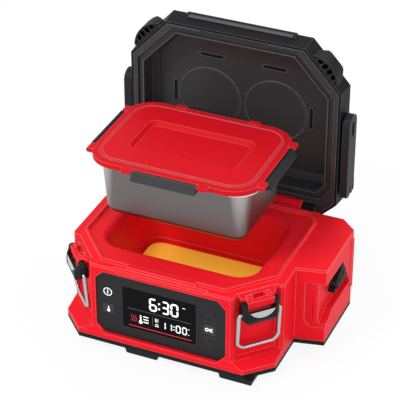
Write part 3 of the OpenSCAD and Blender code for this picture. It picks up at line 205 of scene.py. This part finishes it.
def brushed_tub_steel(name, colour):
    """Drawn stainless steel, brushed along the rim: long thin scratches level with the floor. The drawn
    corners, far across and far along the tub, carry a painted reflection that makes them brighter than the
    flat walls."""
    g = new_material(name)
    across, along = g.shares(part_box("container_tub"))
    # painted reflection: a mask that is 1 at the tub's corners
    corner = ((abs(across) * abs(along) - CORNER_GLINT_START) * CORNER_GLINT_GAIN).clamped()
    long_way = g.noise(g.place((6, 6, 900)), 2.2, 4.0, 0.65)
    short_way = g.noise(g.place((40, 40, 1500)), 3.0, 2.0, 0.6)
    cloud = g.noise(g.place(), 9.0, 3.0, 0.5)
    lines = (long_way * 0.65 + short_way * 0.35).clamped()
    flat = g.mixed(lines, rgba(colour, 0.82), rgba(colour, 1.14))
    # painted reflection: the corners are lifted to 5.4 times the steel's colour, near white
    tone = g.mixed(corner, flat, rgba(colour, 5.4))
    rough = g.spread(lines, 0.24, 0.38) + cloud * 0.06
    bump = g.add("Bump", {"Strength": 0.16, "Distance": 0.03 * MM, "Height": lines})
    return g.finish(Base_Color=tone, Metallic=1.0, Roughness=rough, Normal=bump)


def drawn_steel(name, colour, roughness=0.3):
    """Wire, pins and screws: plain steel with faint drawing marks."""
    g = new_material(name)
    marks = g.noise(g.place(), 700.0, 3.0, 0.6)
    soft = g.soft_edges(0.25 * MM)[0]
    tone = g.mixed(marks, rgba(colour, 0.88), rgba(colour, 1.1))
    bump = g.add("Bump", {"Strength": 0.1, "Distance": 0.02 * MM, "Height": marks, "Normal": soft})
    rough = g.spread(marks, roughness - 0.06, roughness + 0.08)
    return g.finish(Base_Color=tone, Metallic=1.0, Roughness=rough, Normal=bump)


def amber_plate(name, colour):
    """The coated heating plate: amber, with a fine even grain, a deeper tone towards its rim, and a painted
    glow: it shines by itself though it is no lamp.
    """
    g = new_material(name)
    here = g.place()
    across, along = g.shares(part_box("heating_plate"))
    rim = ((across * across) ** 3.0 + (along * along) ** 3.0).clamped()
    cloud = g.noise(here, 22.0, 4.0, 0.6)
    fine = g.noise(here, 1800.0, 2.0, 0.5)
    warm = g.mixed(cloud, rgba(colour, 0.95), rgba(colour, 1.05))
    tone = g.mixed(rim * 0.35, warm, rgba((colour[0] * 0.8, colour[1] * 0.62, colour[2] * 0.5)))
    bump = g.add("Bump", {"Strength": 0.2, "Distance": 0.05 * MM, "Height": fine})
    # painted glow: the plate gives off its own colour as light
    return g.finish(Base_Color=tone, Roughness=g.spread(cloud, 0.36, 0.46), Normal=bump,
                    Emission_Color=tone, Emission_Strength=0.32)


def soft_rubber(name, colour):
    """Seals and gaskets: dull soft rubber with a bloom."""
    g = new_material(name)
    here = g.place()
    bloom = g.noise(here, 60.0, 4.0, 0.6)
    fine = g.noise(here, 1500.0, 2.0, 0.5)
    tone = g.mixed(bloom, rgba(colour, 0.85), rgba(colour, 1.4))
    bump = g.add("Bump", {"Strength": 0.2, "Distance": 0.05 * MM, "Height": fine})
    return g.finish(Base_Color=tone, Roughness=g.spread(bloom, 0.55, 0.72), Normal=bump)


def display_glass(name, colour):
    """The display's dark window: glossy, with faint finger marks."""
    g = new_material(name)
    marks = g.noise(g.place(), 40.0, 5.0, 0.6)
    tone = g.mixed(marks, rgba(colour, 0.8), rgba(colour, 1.3))
    return g.finish(Base_Color=tone, Roughness=g.spread(marks, 0.12, 0.25), Specular_IOR_Level=0.05)


def lit_figure(name, colour, glow):
    """A lit figure of the display: the colour shines a little by itself."""
    g = new_material(name)
    cloud = g.noise(g.place(), 300.0, 2.0, 0.5)
    tone = g.mixed(cloud, rgba(colour, 0.94), rgba(colour, 1.06))
    return g.finish(Base_Color=tone, Roughness=0.5, Emission_Color=tone, Emission_Strength=glow)


def woven_wrap(name, colour):
    """The wrap round the well: a plain weave of glass yarn."""
    g = new_material(name)
    here = g.place()
    yarn = {"Vector": here, "Scale": 260.0, "Distortion": 0.4}
    warp = g.add("TexWave", yarn, output="Fac", bands_direction="X")
    weft = g.add("TexWave", yarn, output="Fac", bands_direction="Z")
    weave = (warp * 0.5 + weft * 0.5).clamped()
    tone = g.mixed(weave, rgba(colour, 0.7), rgba(colour, 1.1))
    bump = g.add("Bump", {"Strength": 0.5, "Distance": 0.2 * MM, "Height": weave})
    return g.finish(Base_Color=tone, Roughness=0.85, Normal=bump)


def board_laminate(name, colour):
    """Circuit boards: green laminate with a faint glass weave under the lacquer."""
    g = new_material(name)
    here = g.place()
    warp = g.add("TexWave", {"Vector": here, "Scale": 180.0}, output="Fac", bands_direction="X")
    cloud = g.noise(here, 60.0, 3.0, 0.5)
    tone = g.mixed((warp * 0.4 + cloud * 0.6).clamped(), rgba(colour, 0.7), rgba(colour, 1.4))
    return g.finish(Base_Color=tone, Roughness=g.spread(cloud, 0.28, 0.45))


# ---------- surfaces ----------

# Lengths in this part are millimetres, and a path's points are [x from the middle of the body, z].
MARK_DEPTH = 0.05  # from the face of a mark to its back
BAR_POINT = 0.52  # length of a bar's pointed end, as a share of the bar's thickness
BAR_GAP = 0.12  # what a bar keeps free at each end, as a share of its thickness
BAR_TIP = 0.05  # width of the pointed end at its tip
COLON_LEVELS = (0.3, 0.7)  # heights of the colon's two dots, as shares of the figure's height

# The seven bars of a figure, each from [across, up] to [across, up] as shares of the figure's inner size.
BARS = {
    "a": ((0, 1.0), (1, 1.0)), "g": ((0, 0.5), (1, 0.5)), "d": ((0, 0), (1, 0)),
    "f": ((0, 0.5), (0, 1.0)), "b": ((1, 0.5), (1, 1.0)),
    "e": ((0, 0), (0, 0.5)), "c": ((1, 0), (1, 0.5)),
}
SEGMENTS = {"0": "abcdef", "1": "bc", "3": "abgcd", "6": "afgedc"}

RIDGE_FOOT = (122.5, 306.7)  # y from the middle of the body and z, where the ridge's slope starts
RIDGE_SLOPE = (2.5, 3.2)  # the way up the slope, in y and z
FIRST_RIB, LAST_RIB, RIB_PITCH = -62.0, 61.0, 1.9
RIB_SLANT = 0.55  # how far a rib leans across for each millimetre up the slope


def joined(name, grids, body, material):
    """One piece from several closed grids of points[u][v]; each is closed round v and filled at both ends."""
    corners, faces, start = [], [], 0
    for points in grids:
        rows, columns = points.shape[:2]
        index = np.arange(rows * columns).reshape(rows, columns) + start
        after = np.roll(index, -1, axis=1)
        quads = np.stack([index[:-1], after[:-1], after[1:], index[1:]], axis=-1).reshape(-1, 4)
        corners.append(points.reshape(-1, 3))
        faces += quads.tolist() + [index[0][::-1].tolist(), index[-1].tolist()]
        start += rows * columns
    mesh = bpy.data.meshes.new(name)
    mesh.from_pydata(np.concatenate(corners).tolist(), [], faces)
    mesh.materials.append(material)
    mesh.update()
    piece = bpy.data.objects.new(name, mesh)
    bpy.context.scene.collection.objects.link(piece)
    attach(piece, body)
    return piece


def strip(path, width, front, depth):
    """A flat strip: point(t, s) = path(t) + side(t) * width(t) * across(s), with side(t) square to the path.
    across(s) runs 0.5, -0.5, -0.5, 0.5 round the section: its face is at y = front, its back depth behind."""
    path = np.asarray(path, float)
    width = np.broadcast_to(np.asarray(width, float), len(path))
    along = np.gradient(path, axis=0)
    along /= np.linalg.norm(along, axis=1)[:, None]
    side = np.stack([-along[:, 1], along[:, 0]], axis=1)
    across = np.array([0.5, -0.5, -0.5, 0.5])
    flat = path[:, None, :] + side[:, None, :] * (width[:, None] * across)[..., None]
    rows = np.empty(flat.shape[:2] + (3,))
    rows[..., 0] = flat[..., 0] + BODY[0]
    rows[..., 1] = [front, front, front + depth, front + depth]
    rows[..., 2] = flat[..., 1]
    return rows * MM


def mark(path, width, front):
    """A strip as thick as the marks of the display and the keys are."""
    return strip(path, width, front, MARK_DEPTH)


def ring_path(x, z, radius, start=0.0, end=360.0, count=49):
    """Points on a circle about [x, z], from start to end in degrees: x + r cos a, z + r sin a."""
    a = np.radians(np.linspace(start, end, count))
    return np.stack([x + radius * np.cos(a), z + radius * np.sin(a)], axis=1)


def slot_path(x, z, long, high, radius, count=13):
    """Round a slot about [x, z] whose half length is long across or high upright: two half circles, each with
    its centre moved to one end of the slot, and back to the start."""
    a = np.linspace(0, np.pi, count)
    arc = radius * np.stack([np.cos(a), np.sin(a)], axis=1)
    arc = arc if high else arc[:, ::-1] * [1, -1]
    end = np.array([long, high])
    path = np.concatenate([arc + end, -arc - end])
    return np.concatenate([path, path[:1]]) + [x, z]


def grip_ribs():
    """Slanting ribs on the slope of the lid's front ridge. Rib k starts at x = first + k * pitch. Its
    point(u, v) is start + u up the slope, slant * u + width(u) * side(v) across it, and height(u) * lift(v)
    off it: a low bar with a rounded section, narrow and low at both ends."""
    foot = np.array([BODY[1] + RIDGE_FOOT[0], RIDGE_FOOT[1]])
    rise = np.array(RIDGE_SLOPE) / math.hypot(*RIDGE_SLOPE)
    proud = np.array([-rise[1], rise[0]])
    u = np.array([0.35, 0.7, 3.2, 3.6])
    width = np.array([0.25, 0.9, 0.9, 0.25])
    height = np.array([0.05, 0.34, 0.34, 0.05])
    side = np.array([-0.5, -0.3, 0.3, 0.5, 0.5, -0.5])
    lift = np.array([0.5, 1.0, 1.0, 0.5, -0.6, -0.6])
    step = height[:, None] * lift
    ribs = []
    for start in np.arange(FIRST_RIB, LAST_RIB, RIB_PITCH):
        rows = np.empty((len(u), len(side), 3))
        rows[..., 0] = BODY[0] + start + RIB_SLANT * u[:, None] + width[:, None] * side
        rows[..., 1] = foot[0] + rise[0] * u[:, None] + proud[0] * step
        rows[..., 2] = foot[1] + rise[1] * u[:, None] + proud[1] * step
        ribs.append(rows * MM)
    return ribs


def figure_marks(text, x, z, height, width, thick, gap, front):
    """A line of seven-bar figures whose lower left corner is [x, z]. A bar runs between two points, each at
    corner + inner size * share, less a gap at each end, and its width falls to a tip at both ends."""
    marks = []
    inner = np.array([width - thick, height - thick])
    for sign in text:
        if sign == ":":
            levels = [z + height * share for share in COLON_LEVELS]
            marks += [mark([[x, level], [x + thick, level]], thick, front) for level in levels]
            x += thick + gap
            continue
        corner = np.array([x, z]) + thick / 2
        for bar in SEGMENTS[sign]:
            start, end = (corner + inner * np.array(share) for share in BARS[bar])
            way = (end - start) / np.linalg.norm(end - start) * thick
            start, end = start + way * BAR_GAP, end - way * BAR_GAP
            path = [start, start + way * BAR_POINT, end - way * BAR_POINT, end]
            marks.append(mark(path, [BAR_TIP, thick, thick, BAR_TIP], front))
        x += width + gap
    return marks


def time_marks(front):
    """The two lines of figures, and the small dash that stands for each word beside them."""
    upper = figure_marks("6:30", -13.4, 64.2, height=17.0, width=9.2, thick=2.1, gap=1.6, front=front)
    lower = figure_marks("11:00", 0.2, 43.8, height=10.0, width=5.8, thick=1.3, gap=1.6, front=front)
    words = ((25.8, 78.6, 3.2), (32.2, 52.2, 1.8), (32.4, 44.6, 1.2))
    return upper + lower + [mark([[x, z], [x + long, z]], 0.7, front) for x, z, long in words]


def thermometer_marks(front):
    """An upright stem with a round bulb at its foot, and three level bars beside it."""
    x, foot, head = -23.8, 45.4, 54.6
    stem = mark([[x, foot], [x, head]], 1.6, front)
    bulb = mark(ring_path(x, foot + 0.2, 1.1), 2.1, front)
    return [stem, bulb] + [mark([[-20.6, z], [-14.6, z]], 1.25, front) for z in (46.6, 50.2, 53.8)]


def dish_marks(front):
    """A half ring on a bar, with three upright strokes above them."""
    dome = mark(ring_path(-4.6, 46.4, 1.6, 0, 180, 17), 0.8, front)
    tray = mark([[-6.8, 45.2], [-2.4, 45.2]], 0.7, front)
    return [dome, tray] + [mark([[x, 50.6], [x, 55.4]], 0.55, front) for x in (-6.2, -5.2, -3.2)]


def heat_marks(front):
    """Three waves over a bar, and the rule under the display: a wave is x + sway * sin a, z rising with a."""
    a, z = np.linspace(0, 2 * np.pi, 15), np.linspace(46.4, 53.2, 15)
    sway = 0.8
    waves = [mark(np.stack([x + sway * np.sin(a), z], axis=1), 0.42, front) for x in (-34.4, -31.8, -29.2)]
    bar = mark([[-35.6, 45.4], [-28.2, 45.4]], 0.4, front)
    rule = mark([[-38.0, 38.4], [36.0, 38.4]], 0.75, front)
    return waves + [bar, rule]


def divider_marks(front):
    """The thin lines that part the display: one level, and one upright in its lower half."""
    return [mark([[-39.0, 60.8], [36.0, 60.8]], 0.4, front), mark([[-9.6, 45.0], [-9.6, 57.0]], 0.4, front)]


def power_marks(front):
    """A ring with an upright stroke in it."""
    x, z, reach = -62.6, 75.5, 2.7
    ring = mark(ring_path(x, z, 4.7, count=61), 0.85, front)
    return [ring, mark([[x, z - reach], [x, z + reach]], 0.95, front)]


def small_thermometer_marks(front):
    """An upright stem with a round bulb at its foot."""
    x, foot, head = -62.1, 50.6, 56.2
    return [mark([[x, foot], [x, head]], 1.3, front), mark(ring_path(x, foot + 0.2, 0.9), 1.7, front)]


def ok_marks(front):
    """The letters O and K: a ring, then an upright stem with two slanting arms."""
    thick = 0.95
    round_letter = mark(ring_path(54.5, 59.2, 1.75, count=41), thick, front)
    stem = mark([[58.2, 57.0], [58.2, 61.4]], thick, front)
    arms = [mark([[58.8, 59.2], [61.1, z]], thick, front) for z in (61.5, 56.9)]
    return [round_letter, stem] + arms


# ---------- settings ----------


class LunchBoxColours(bpy.types.PropertyGroup):
    """Colours of the finishes."""

    red: bpy.props.FloatVectorProperty(
        name="Housing red", description="Colour of the moulded housing",
        subtype="COLOR", default=(0.80, 0.008, 0.018), min=0, max=1)
    # painted light: a brighter copy of the housing red, to lift the deck and the well out of the container's
    # shade
    brightened_deck_red: bpy.props.FloatVectorProperty(
        name="Deck red", description="Colour of the deck and the well",
        subtype="COLOR", default=(0.89, 0.013, 0.023), min=0, max=1)
    charcoal: bpy.props.FloatVectorProperty(
        name="Charcoal", description="Colour of the lid, panel and latches",
        subtype="COLOR", default=(0.012, 0.012, 0.013), min=0, max=1)
    liner: bpy.props.FloatVectorProperty(
        name="Liner grey", description="Colour of the lid's liner",
        subtype="COLOR", default=(0.034, 0.035, 0.037), min=0, max=1)
    # raised above the plate's own amber to make up for the shade in the well: painted light
    plate: bpy.props.FloatVectorProperty(
        name="Plate amber", description="Colour of the heating plate",
        subtype="COLOR", default=(0.96, 0.52, 0.050), min=0, max=1)
    # kept dark: painted shade on the tub's flat walls, in place of the darker surroundings they would reflect
    steel: bpy.props.FloatVectorProperty(
        name="Steel", description="Colour of the steel tub",
        subtype="COLOR", default=(0.175, 0.167, 0.163), min=0, max=1)


class LunchBoxStage(bpy.types.PropertyGroup):
    """The light and the camera."""

    key_power: bpy.props.FloatProperty(
        name="Key light", description="Power of the key light", default=13.5, min=0, unit="POWER")
    sky: bpy.props.FloatProperty(
        name="Sky", description="Brightness of the even light from all round", default=0.95, min=0)
    lens: bpy.props.FloatProperty(
        name="Lens", description="Focal length of the camera in millimetres", default=162.9, min=20)


# ---------- operators ----------


def dress(finishes):
    """Gives each named CAD node its material."""
    for node, material in finishes.items():
        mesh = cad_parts[node].data
        mesh.materials.clear()
        mesh.materials.append(material)


class LUNCHBOX_OT_housing(bpy.types.Operator):
    """Finish the housing, the deck, the well and what is inside them"""

    bl_idname = "lunchbox.housing"
    bl_label = "Housing"

    def execute(self, context):
        c = context.scene.lunchbox_colours
        red = moulded_plastic("moulded red", c.red, roughness=0.40, edge=0.9, edge_highlight=0.34, gloss=0.07)
        # painted light: the deck and the well take the brighter copy of the red
        deck = moulded_plastic("deck red", c.brightened_deck_red, roughness=0.40, edge=0.9, edge_highlight=0.34, gloss=0.07)
        steel = drawn_steel("machined steel", MACHINED_STEEL)
        dark_steel = drawn_steel("dark steel", (0.05, 0.05, 0.052), roughness=0.45)
        rubber = soft_rubber("seal rubber", BLACK_RUBBER)
        black = moulded_plastic("charcoal plastic", rgba(c.charcoal, 0.7),
                                roughness=0.50, edge=0.6, edge_highlight=0.10, gloss=0.12)
        board = board_laminate("board laminate", (0.02, 0.12, 0.05))
        ceramic = moulded_plastic("pale ceramic", (0.75, 0.70, 0.58), roughness=0.5, edge=0.3, edge_highlight=0.2)
        dress({
            "housing_shell": red, "well_deck": deck, "base_plate": black,
            "heating_plate": amber_plate("amber plate", c.plate), "plate_gasket": rubber,
            "heater_element": steel, "temperature_sensor": steel, "thermal_fuse": ceramic,
            "well_insulation": woven_wrap("woven wrap", (0.68, 0.62, 0.47)),
            "control_board": board, "power_board": board,
            "battery_contacts": steel, "battery_terminal_block": black,
            "hinge_pin": steel, "lever_pins": dark_steel, "case_screws": steel,
        })
        return {"FINISHED"}


class LUNCHBOX_OT_panel(bpy.types.Operator):
    """Finish the control panel and its keys, and draw the display's figures"""

    bl_idname = "lunchbox.panel"
    bl_label = "Control panel"

    def execute(self, context):
        c = context.scene.lunchbox_colours
        black = moulded_plastic("panel charcoal", rgba(c.charcoal, 1.1), roughness=0.50, edge=0.5, edge_highlight=0.10)
        key_black = moulded_plastic("black key", (0.014, 0.014, 0.015), roughness=0.35, edge=0.3, edge_highlight=0.12)
        arrow_black = moulded_plastic("black arrow key", rgba(c.charcoal, 0.9),
                                      roughness=0.5, edge=0.5, edge_highlight=0.30)
        key_grey = moulded_plastic("grey key", (0.030, 0.031, 0.033), roughness=0.45, edge=0.4, edge_highlight=0.25)
        dress({
            "control_bezel": black, "display_window": display_glass("display glass", (0.0035, 0.003, 0.004)),
            "power_button": key_black, "temperature_button": key_grey, "ok_button": key_grey,
            "up_button": arrow_black, "down_button": arrow_black,
        })
        white = lit_figure("lit white", (0.9, 0.9, 0.88), glow=0.7)
        red = lit_figure("lit red", (0.80, 0.02, 0.03), glow=0.35)
        faint = lit_figure("faint line", (0.12, 0.12, 0.12), glow=0.15)
        # the marks stand just proud of the glass and of the keys
        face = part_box("display_window")[0].y / MM - 0.06
        signs = thermometer_marks(face) + dish_marks(face)
        joined("display_figures", time_marks(face), "housing", white)
        joined("display_signs", signs, "housing", white)
        joined("display_heat_signs", heat_marks(face), "housing", red)
        joined("display_lines", divider_marks(face), "housing", faint)
        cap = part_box("power_button")[0].y / MM - 0.05
        joined("power_mark", power_marks(cap), "power_button", white)
        joined("temperature_mark", small_thermometer_marks(cap), "temperature_button", white)
        joined("ok_mark", ok_marks(cap), "ok_button", white)
        return {"FINISHED"}


CEILING = BODY[1] + 134.5  # y of the liner's inner face on the opened lid, in millimetres
# The liner's slots, in millimetres: x and z of the middle, half length across, half length upright.
LINER_SLOTS = (
    (-38.0, 258.0, 13.0, 0.0), (38.0, 258.0, 13.0, 0.0),
    (-82.5, 204.0, 0.0, 12.5), (82.5, 204.0, 0.0, 12.5),
)


class LUNCHBOX_OT_lid(bpy.types.Operator):
    """Finish the lid, its liner and the carry handle"""

    bl_idname = "lunchbox.lid"
    bl_label = "Lid and handle"

    def execute(self, context):
        c = context.scene.lunchbox_colours
        shell = moulded_plastic("lid charcoal", rgba(c.charcoal, 0.6),
                                roughness=0.46, edge=0.8, edge_highlight=0.20, gloss=0.09)
        handle = moulded_plastic("handle charcoal", rgba(c.charcoal, 1.6),
                                 roughness=0.46, edge=0.8, edge_highlight=0.20, gloss=0.12)
        liner = moulded_plastic("liner plastic", c.liner, roughness=0.36, edge=0.7, edge_highlight=0.32)
        grip = moulded_plastic("grip grey", (0.21, 0.21, 0.215), roughness=0.45, edge=0.2, edge_highlight=0.2)
        rim = moulded_plastic("slot rim", rgba(c.liner, 2.0), roughness=0.4, edge=0.2, edge_highlight=0.2)
        # painted shade: a near-black plastic for the insides of the slots
        slot_shade = moulded_plastic("slot black", rgba(c.charcoal, 0.5),
                                 roughness=0.6, edge=0.2, edge_highlight=0.05, gloss=0.1)
        steel = drawn_steel("blackened steel", (0.06, 0.06, 0.062), roughness=0.45)
        rims = [strip(slot_path(*slot, radius=2.3), width=0.8, front=CEILING - 0.3, depth=0.35)
                for slot in LINER_SLOTS]
        # painted shade: a thin dark sheet laid on the liner's face stands in for the shade inside each slot
        slot_shades = [strip([[x - long, z - high], [x + long, z + high]], width=3.9,
                         front=CEILING - 0.06, depth=0.1)
                   for x, z, long, high in LINER_SLOTS]
        joined("lid_grip_ribs", grip_ribs(), "lid", grip)
        joined("liner_slot_rims", rims, "lid", rim)
        joined("liner_slot_shadows", slot_shades, "lid", slot_shade)
        dress({
            "lid_shell": shell, "left_keeper": shell, "right_keeper": shell, "carry_handle": handle,
            "lid_liner": liner, "lid_seal": soft_rubber("lid seal rubber", BLACK_RUBBER),
            "lid_screws": steel, "handle_pins": steel,
        })
        return {"FINISHED"}


class LUNCHBOX_OT_latches(bpy.types.Operator):
    """Finish the latch levers, their inlays and the wire bails"""

    bl_idname = "lunchbox.latches"
    bl_label = "Latches"

    def execute(self, context):
        c = context.scene.lunchbox_colours
        black = moulded_plastic("lever charcoal", rgba(c.charcoal, 0.5),
                                roughness=0.36, edge=0.4, edge_highlight=0.22, gloss=0.15)
        wire = drawn_steel("bail wire", (0.50, 0.49, 0.485), roughness=0.20)
        inlay = moulded_plastic("silver inlay", (0.48, 0.48, 0.48), roughness=0.36, edge=0.3, edge_highlight=0.3)
        dress({
            "left_lever": black, "right_lever": black, "left_bail": wire, "right_bail": wire,
            "left_lever_pad": inlay, "right_lever_pad": inlay,
        })
        return {"FINISHED"}


class LUNCHBOX_OT_container(bpy.types.Operator):
    """Finish the food container, its lid and its clips"""

    bl_idname = "lunchbox.container"
    bl_label = "Food container"

    def execute(self, context):
        c = context.scene.lunchbox_colours
        red = moulded_plastic("container lid red", rgba(c.red, 0.74),
                              roughness=0.42, edge=0.9, edge_highlight=0.26, gloss=0.05, grain_depth=0.12)
        black = moulded_plastic("clip charcoal", c.charcoal, roughness=0.46, edge=0.5, edge_highlight=0.14, gloss=0.15)
        grey = moulded_plastic("front clip grey", rgba(c.charcoal, 3.0), roughness=0.40, edge=0.5, edge_highlight=0.16)
        dress({
            "container_tub": brushed_tub_steel("brushed tub steel", c.steel),
            "container_lid": red,
            "container_gasket": soft_rubber("container gasket", BLACK_RUBBER),
            "clip_pins": drawn_steel("clip pins", MACHINED_STEEL),
            "front_clip": grey, "back_clip": black, "left_clip": black, "right_clip": black,
        })
        return {"FINISHED"}


# Stage sizes, in metres.
FLOOR_REACH, FLOOR_DROP, FLOOR_LINES = 4.0, 0.0002, 25
AIM_HEIGHT = 0.1
LAMPS = (  # name, place from the aim, side of the square, share of the key light's power
    ("key light", (-0.67, -1.09, 1.54), 0.5, 1.0),
    ("fill light", (1.4, -0.8, 0.7), 1.0, 0.16),
    ("back light", (0.4, 1.3, 1.1), 0.8, 0.35),
)
CAMERA_PLACE = (0.6878, -1.4279, 1.2246)
CAMERA_ROUND, CAMERA_DOWN = 23.56, 32.91  # degrees round from the front, and down from level
SENSOR = 36.0  # width of the camera's sensor, in millimetres


def pale_floor():
    """The floor: pale under the lamps, and nearly plain white to the camera, in gloss and through glass."""
    g = new_material("pale floor")
    rays = g.add("LightPath")
    camera, gloss, glass = (rays.sibling(f"Is {kind} Ray") for kind in ("Camera", "Glossy", "Transmission"))
    shown = (camera + gloss + glass).clamped()
    plain = g.add("BsdfPrincipled", {"Base Color": (0.88, 0.88, 0.88, 1), "Roughness": 0.8})
    white = g.add("Emission", {"Color": (1, 1, 1, 1), "Strength": 1.0})
    g.add("OutputMaterial", {"Surface": g.add("MixShader", {0: shown * 0.9, 1: plain, 2: white})})
    return g.owner


def studio_world(brightness):
    """An even light from all round, which the camera and glass see as white."""
    g = Graph(bpy.data.worlds.new("studio"))
    rays = g.add("LightPath")
    camera, glass = (rays.sibling(f"Is {kind} Ray") for kind in ("Camera", "Transmission"))
    seen = g.add("Math", {0: camera, 1: glass}, operation="MAXIMUM")
    sky = g.add("Background", {"Color": (0.95, 0.97, 1.0, 1), "Strength": brightness})
    white = g.add("Background", {"Color": (1, 1, 1, 1)})
    g.add("OutputWorld", {"Surface": g.add("MixShader", {0: seen, 1: sky, 2: white})})
    return g.owner


def level_floor(material):
    """A level grid: point(u, v) = [u * reach, v * reach, -drop], with u and v from -1 to 1."""
    u = np.linspace(-1, 1, FLOOR_LINES) * FLOOR_REACH
    x, y = np.meshgrid(u, u, indexing="ij")
    z = np.full_like(x, -FLOOR_DROP)
    index = np.arange(x.size).reshape(x.shape)
    quads = np.stack([index[:-1, :-1], index[1:, :-1], index[1:, 1:], index[:-1, 1:]], axis=-1).reshape(-1, 4)
    mesh = bpy.data.meshes.new("floor")
    mesh.from_pydata(np.stack([x, y, z], axis=-1).reshape(-1, 3).tolist(), [], quads.tolist())
    mesh.materials.append(material)
    floor = bpy.data.objects.new("floor", mesh)
    bpy.context.scene.collection.objects.link(floor)
    return floor


def area_light(name, offset, aim, size, power):
    """A square lamp that faces aim from that offset."""
    lamp = bpy.data.lights.new(name, "AREA")
    lamp.energy, lamp.size = power, size
    thing = bpy.data.objects.new(name, lamp)
    bpy.context.scene.collection.objects.link(thing)
    thing.location = Vector(aim) + Vector(offset)
    thing.rotation_mode = "QUATERNION"
    thing.rotation_quaternion = (-Vector(offset)).to_track_quat("-Z", "Y")


def studio_camera(focal_length):
    """The camera: it looks back along the line that its two angles give, with its right side level."""
    lens = bpy.data.cameras.new("camera")
    lens.sensor_width, lens.lens = SENSOR, focal_length
    lens.clip_start, lens.clip_end = 0.05, 50.0
    camera = bpy.data.objects.new("camera", lens)
    bpy.context.scene.collection.objects.link(camera)
    a, e = math.radians(CAMERA_ROUND), math.radians(CAMERA_DOWN)
    back = Vector((math.sin(a) * math.cos(e), -math.cos(a) * math.cos(e), math.sin(e)))
    right = Vector((math.cos(a), math.sin(a), 0))
    turn = Matrix((right, back.cross(right), back)).transposed()
    camera.matrix_world = Matrix.Translation(CAMERA_PLACE) @ turn.to_4x4()
    return camera


class LUNCHBOX_OT_stage(bpy.types.Operator):
    """Make the floor, the lamps, the sky and the camera"""

    bl_idname = "lunchbox.stage"
    bl_label = "Stage"

    def execute(self, context):
        s = context.scene.lunchbox_stage
        floor = level_floor(pale_floor())
        context.scene.world = studio_world(s.sky)
        aim = (BODY[0] * MM, BODY[1] * MM, AIM_HEIGHT)
        for name, offset, size, share in LAMPS:
            area_light(name, offset, aim, size, s.key_power * share)
        context.scene.camera = studio_camera(s.lens)
        context.scene.view_settings.view_transform = "Standard"
        return {"FINISHED"}


class LUNCHBOX_PT_panel(bpy.types.Panel):
    """Lists the settings and the steps in the sidebar"""

    bl_idname = "LUNCHBOX_PT_panel"
    bl_label = "Electric Lunch Box"
    bl_space_type = "VIEW_3D"
    bl_region_type = "UI"
    bl_category = "Lunch Box"

    def draw(self, context):
        for group in (context.scene.lunchbox_colours, context.scene.lunchbox_stage):
            for key in group.__annotations__:
                self.layout.prop(group, key)
        for step in STEPS:
            self.layout.operator(step.bl_idname)


STEPS = (LUNCHBOX_OT_housing, LUNCHBOX_OT_panel, LUNCHBOX_OT_lid, LUNCHBOX_OT_latches, LUNCHBOX_OT_container,
         LUNCHBOX_OT_stage)
CLASSES = (LunchBoxColours, LunchBoxStage) + STEPS + (LUNCHBOX_PT_panel,)


def register():
    for kind in CLASSES:
        bpy.utils.register_class(kind)
    bpy.types.Scene.lunchbox_colours = bpy.props.PointerProperty(type=LunchBoxColours)
    bpy.types.Scene.lunchbox_stage = bpy.props.PointerProperty(type=LunchBoxStage)


def unregister():
    del bpy.types.Scene.lunchbox_stage
    del bpy.types.Scene.lunchbox_colours
    for kind in reversed(CLASSES):
        bpy.utils.unregister_class(kind)


def main():
    register()
    for step in STEPS:
        group, name = step.bl_idname.split(".")
        getattr(getattr(bpy.ops, group), name)()
    bpy.context.view_layer.update()


if __name__ == "__main__":
    main()
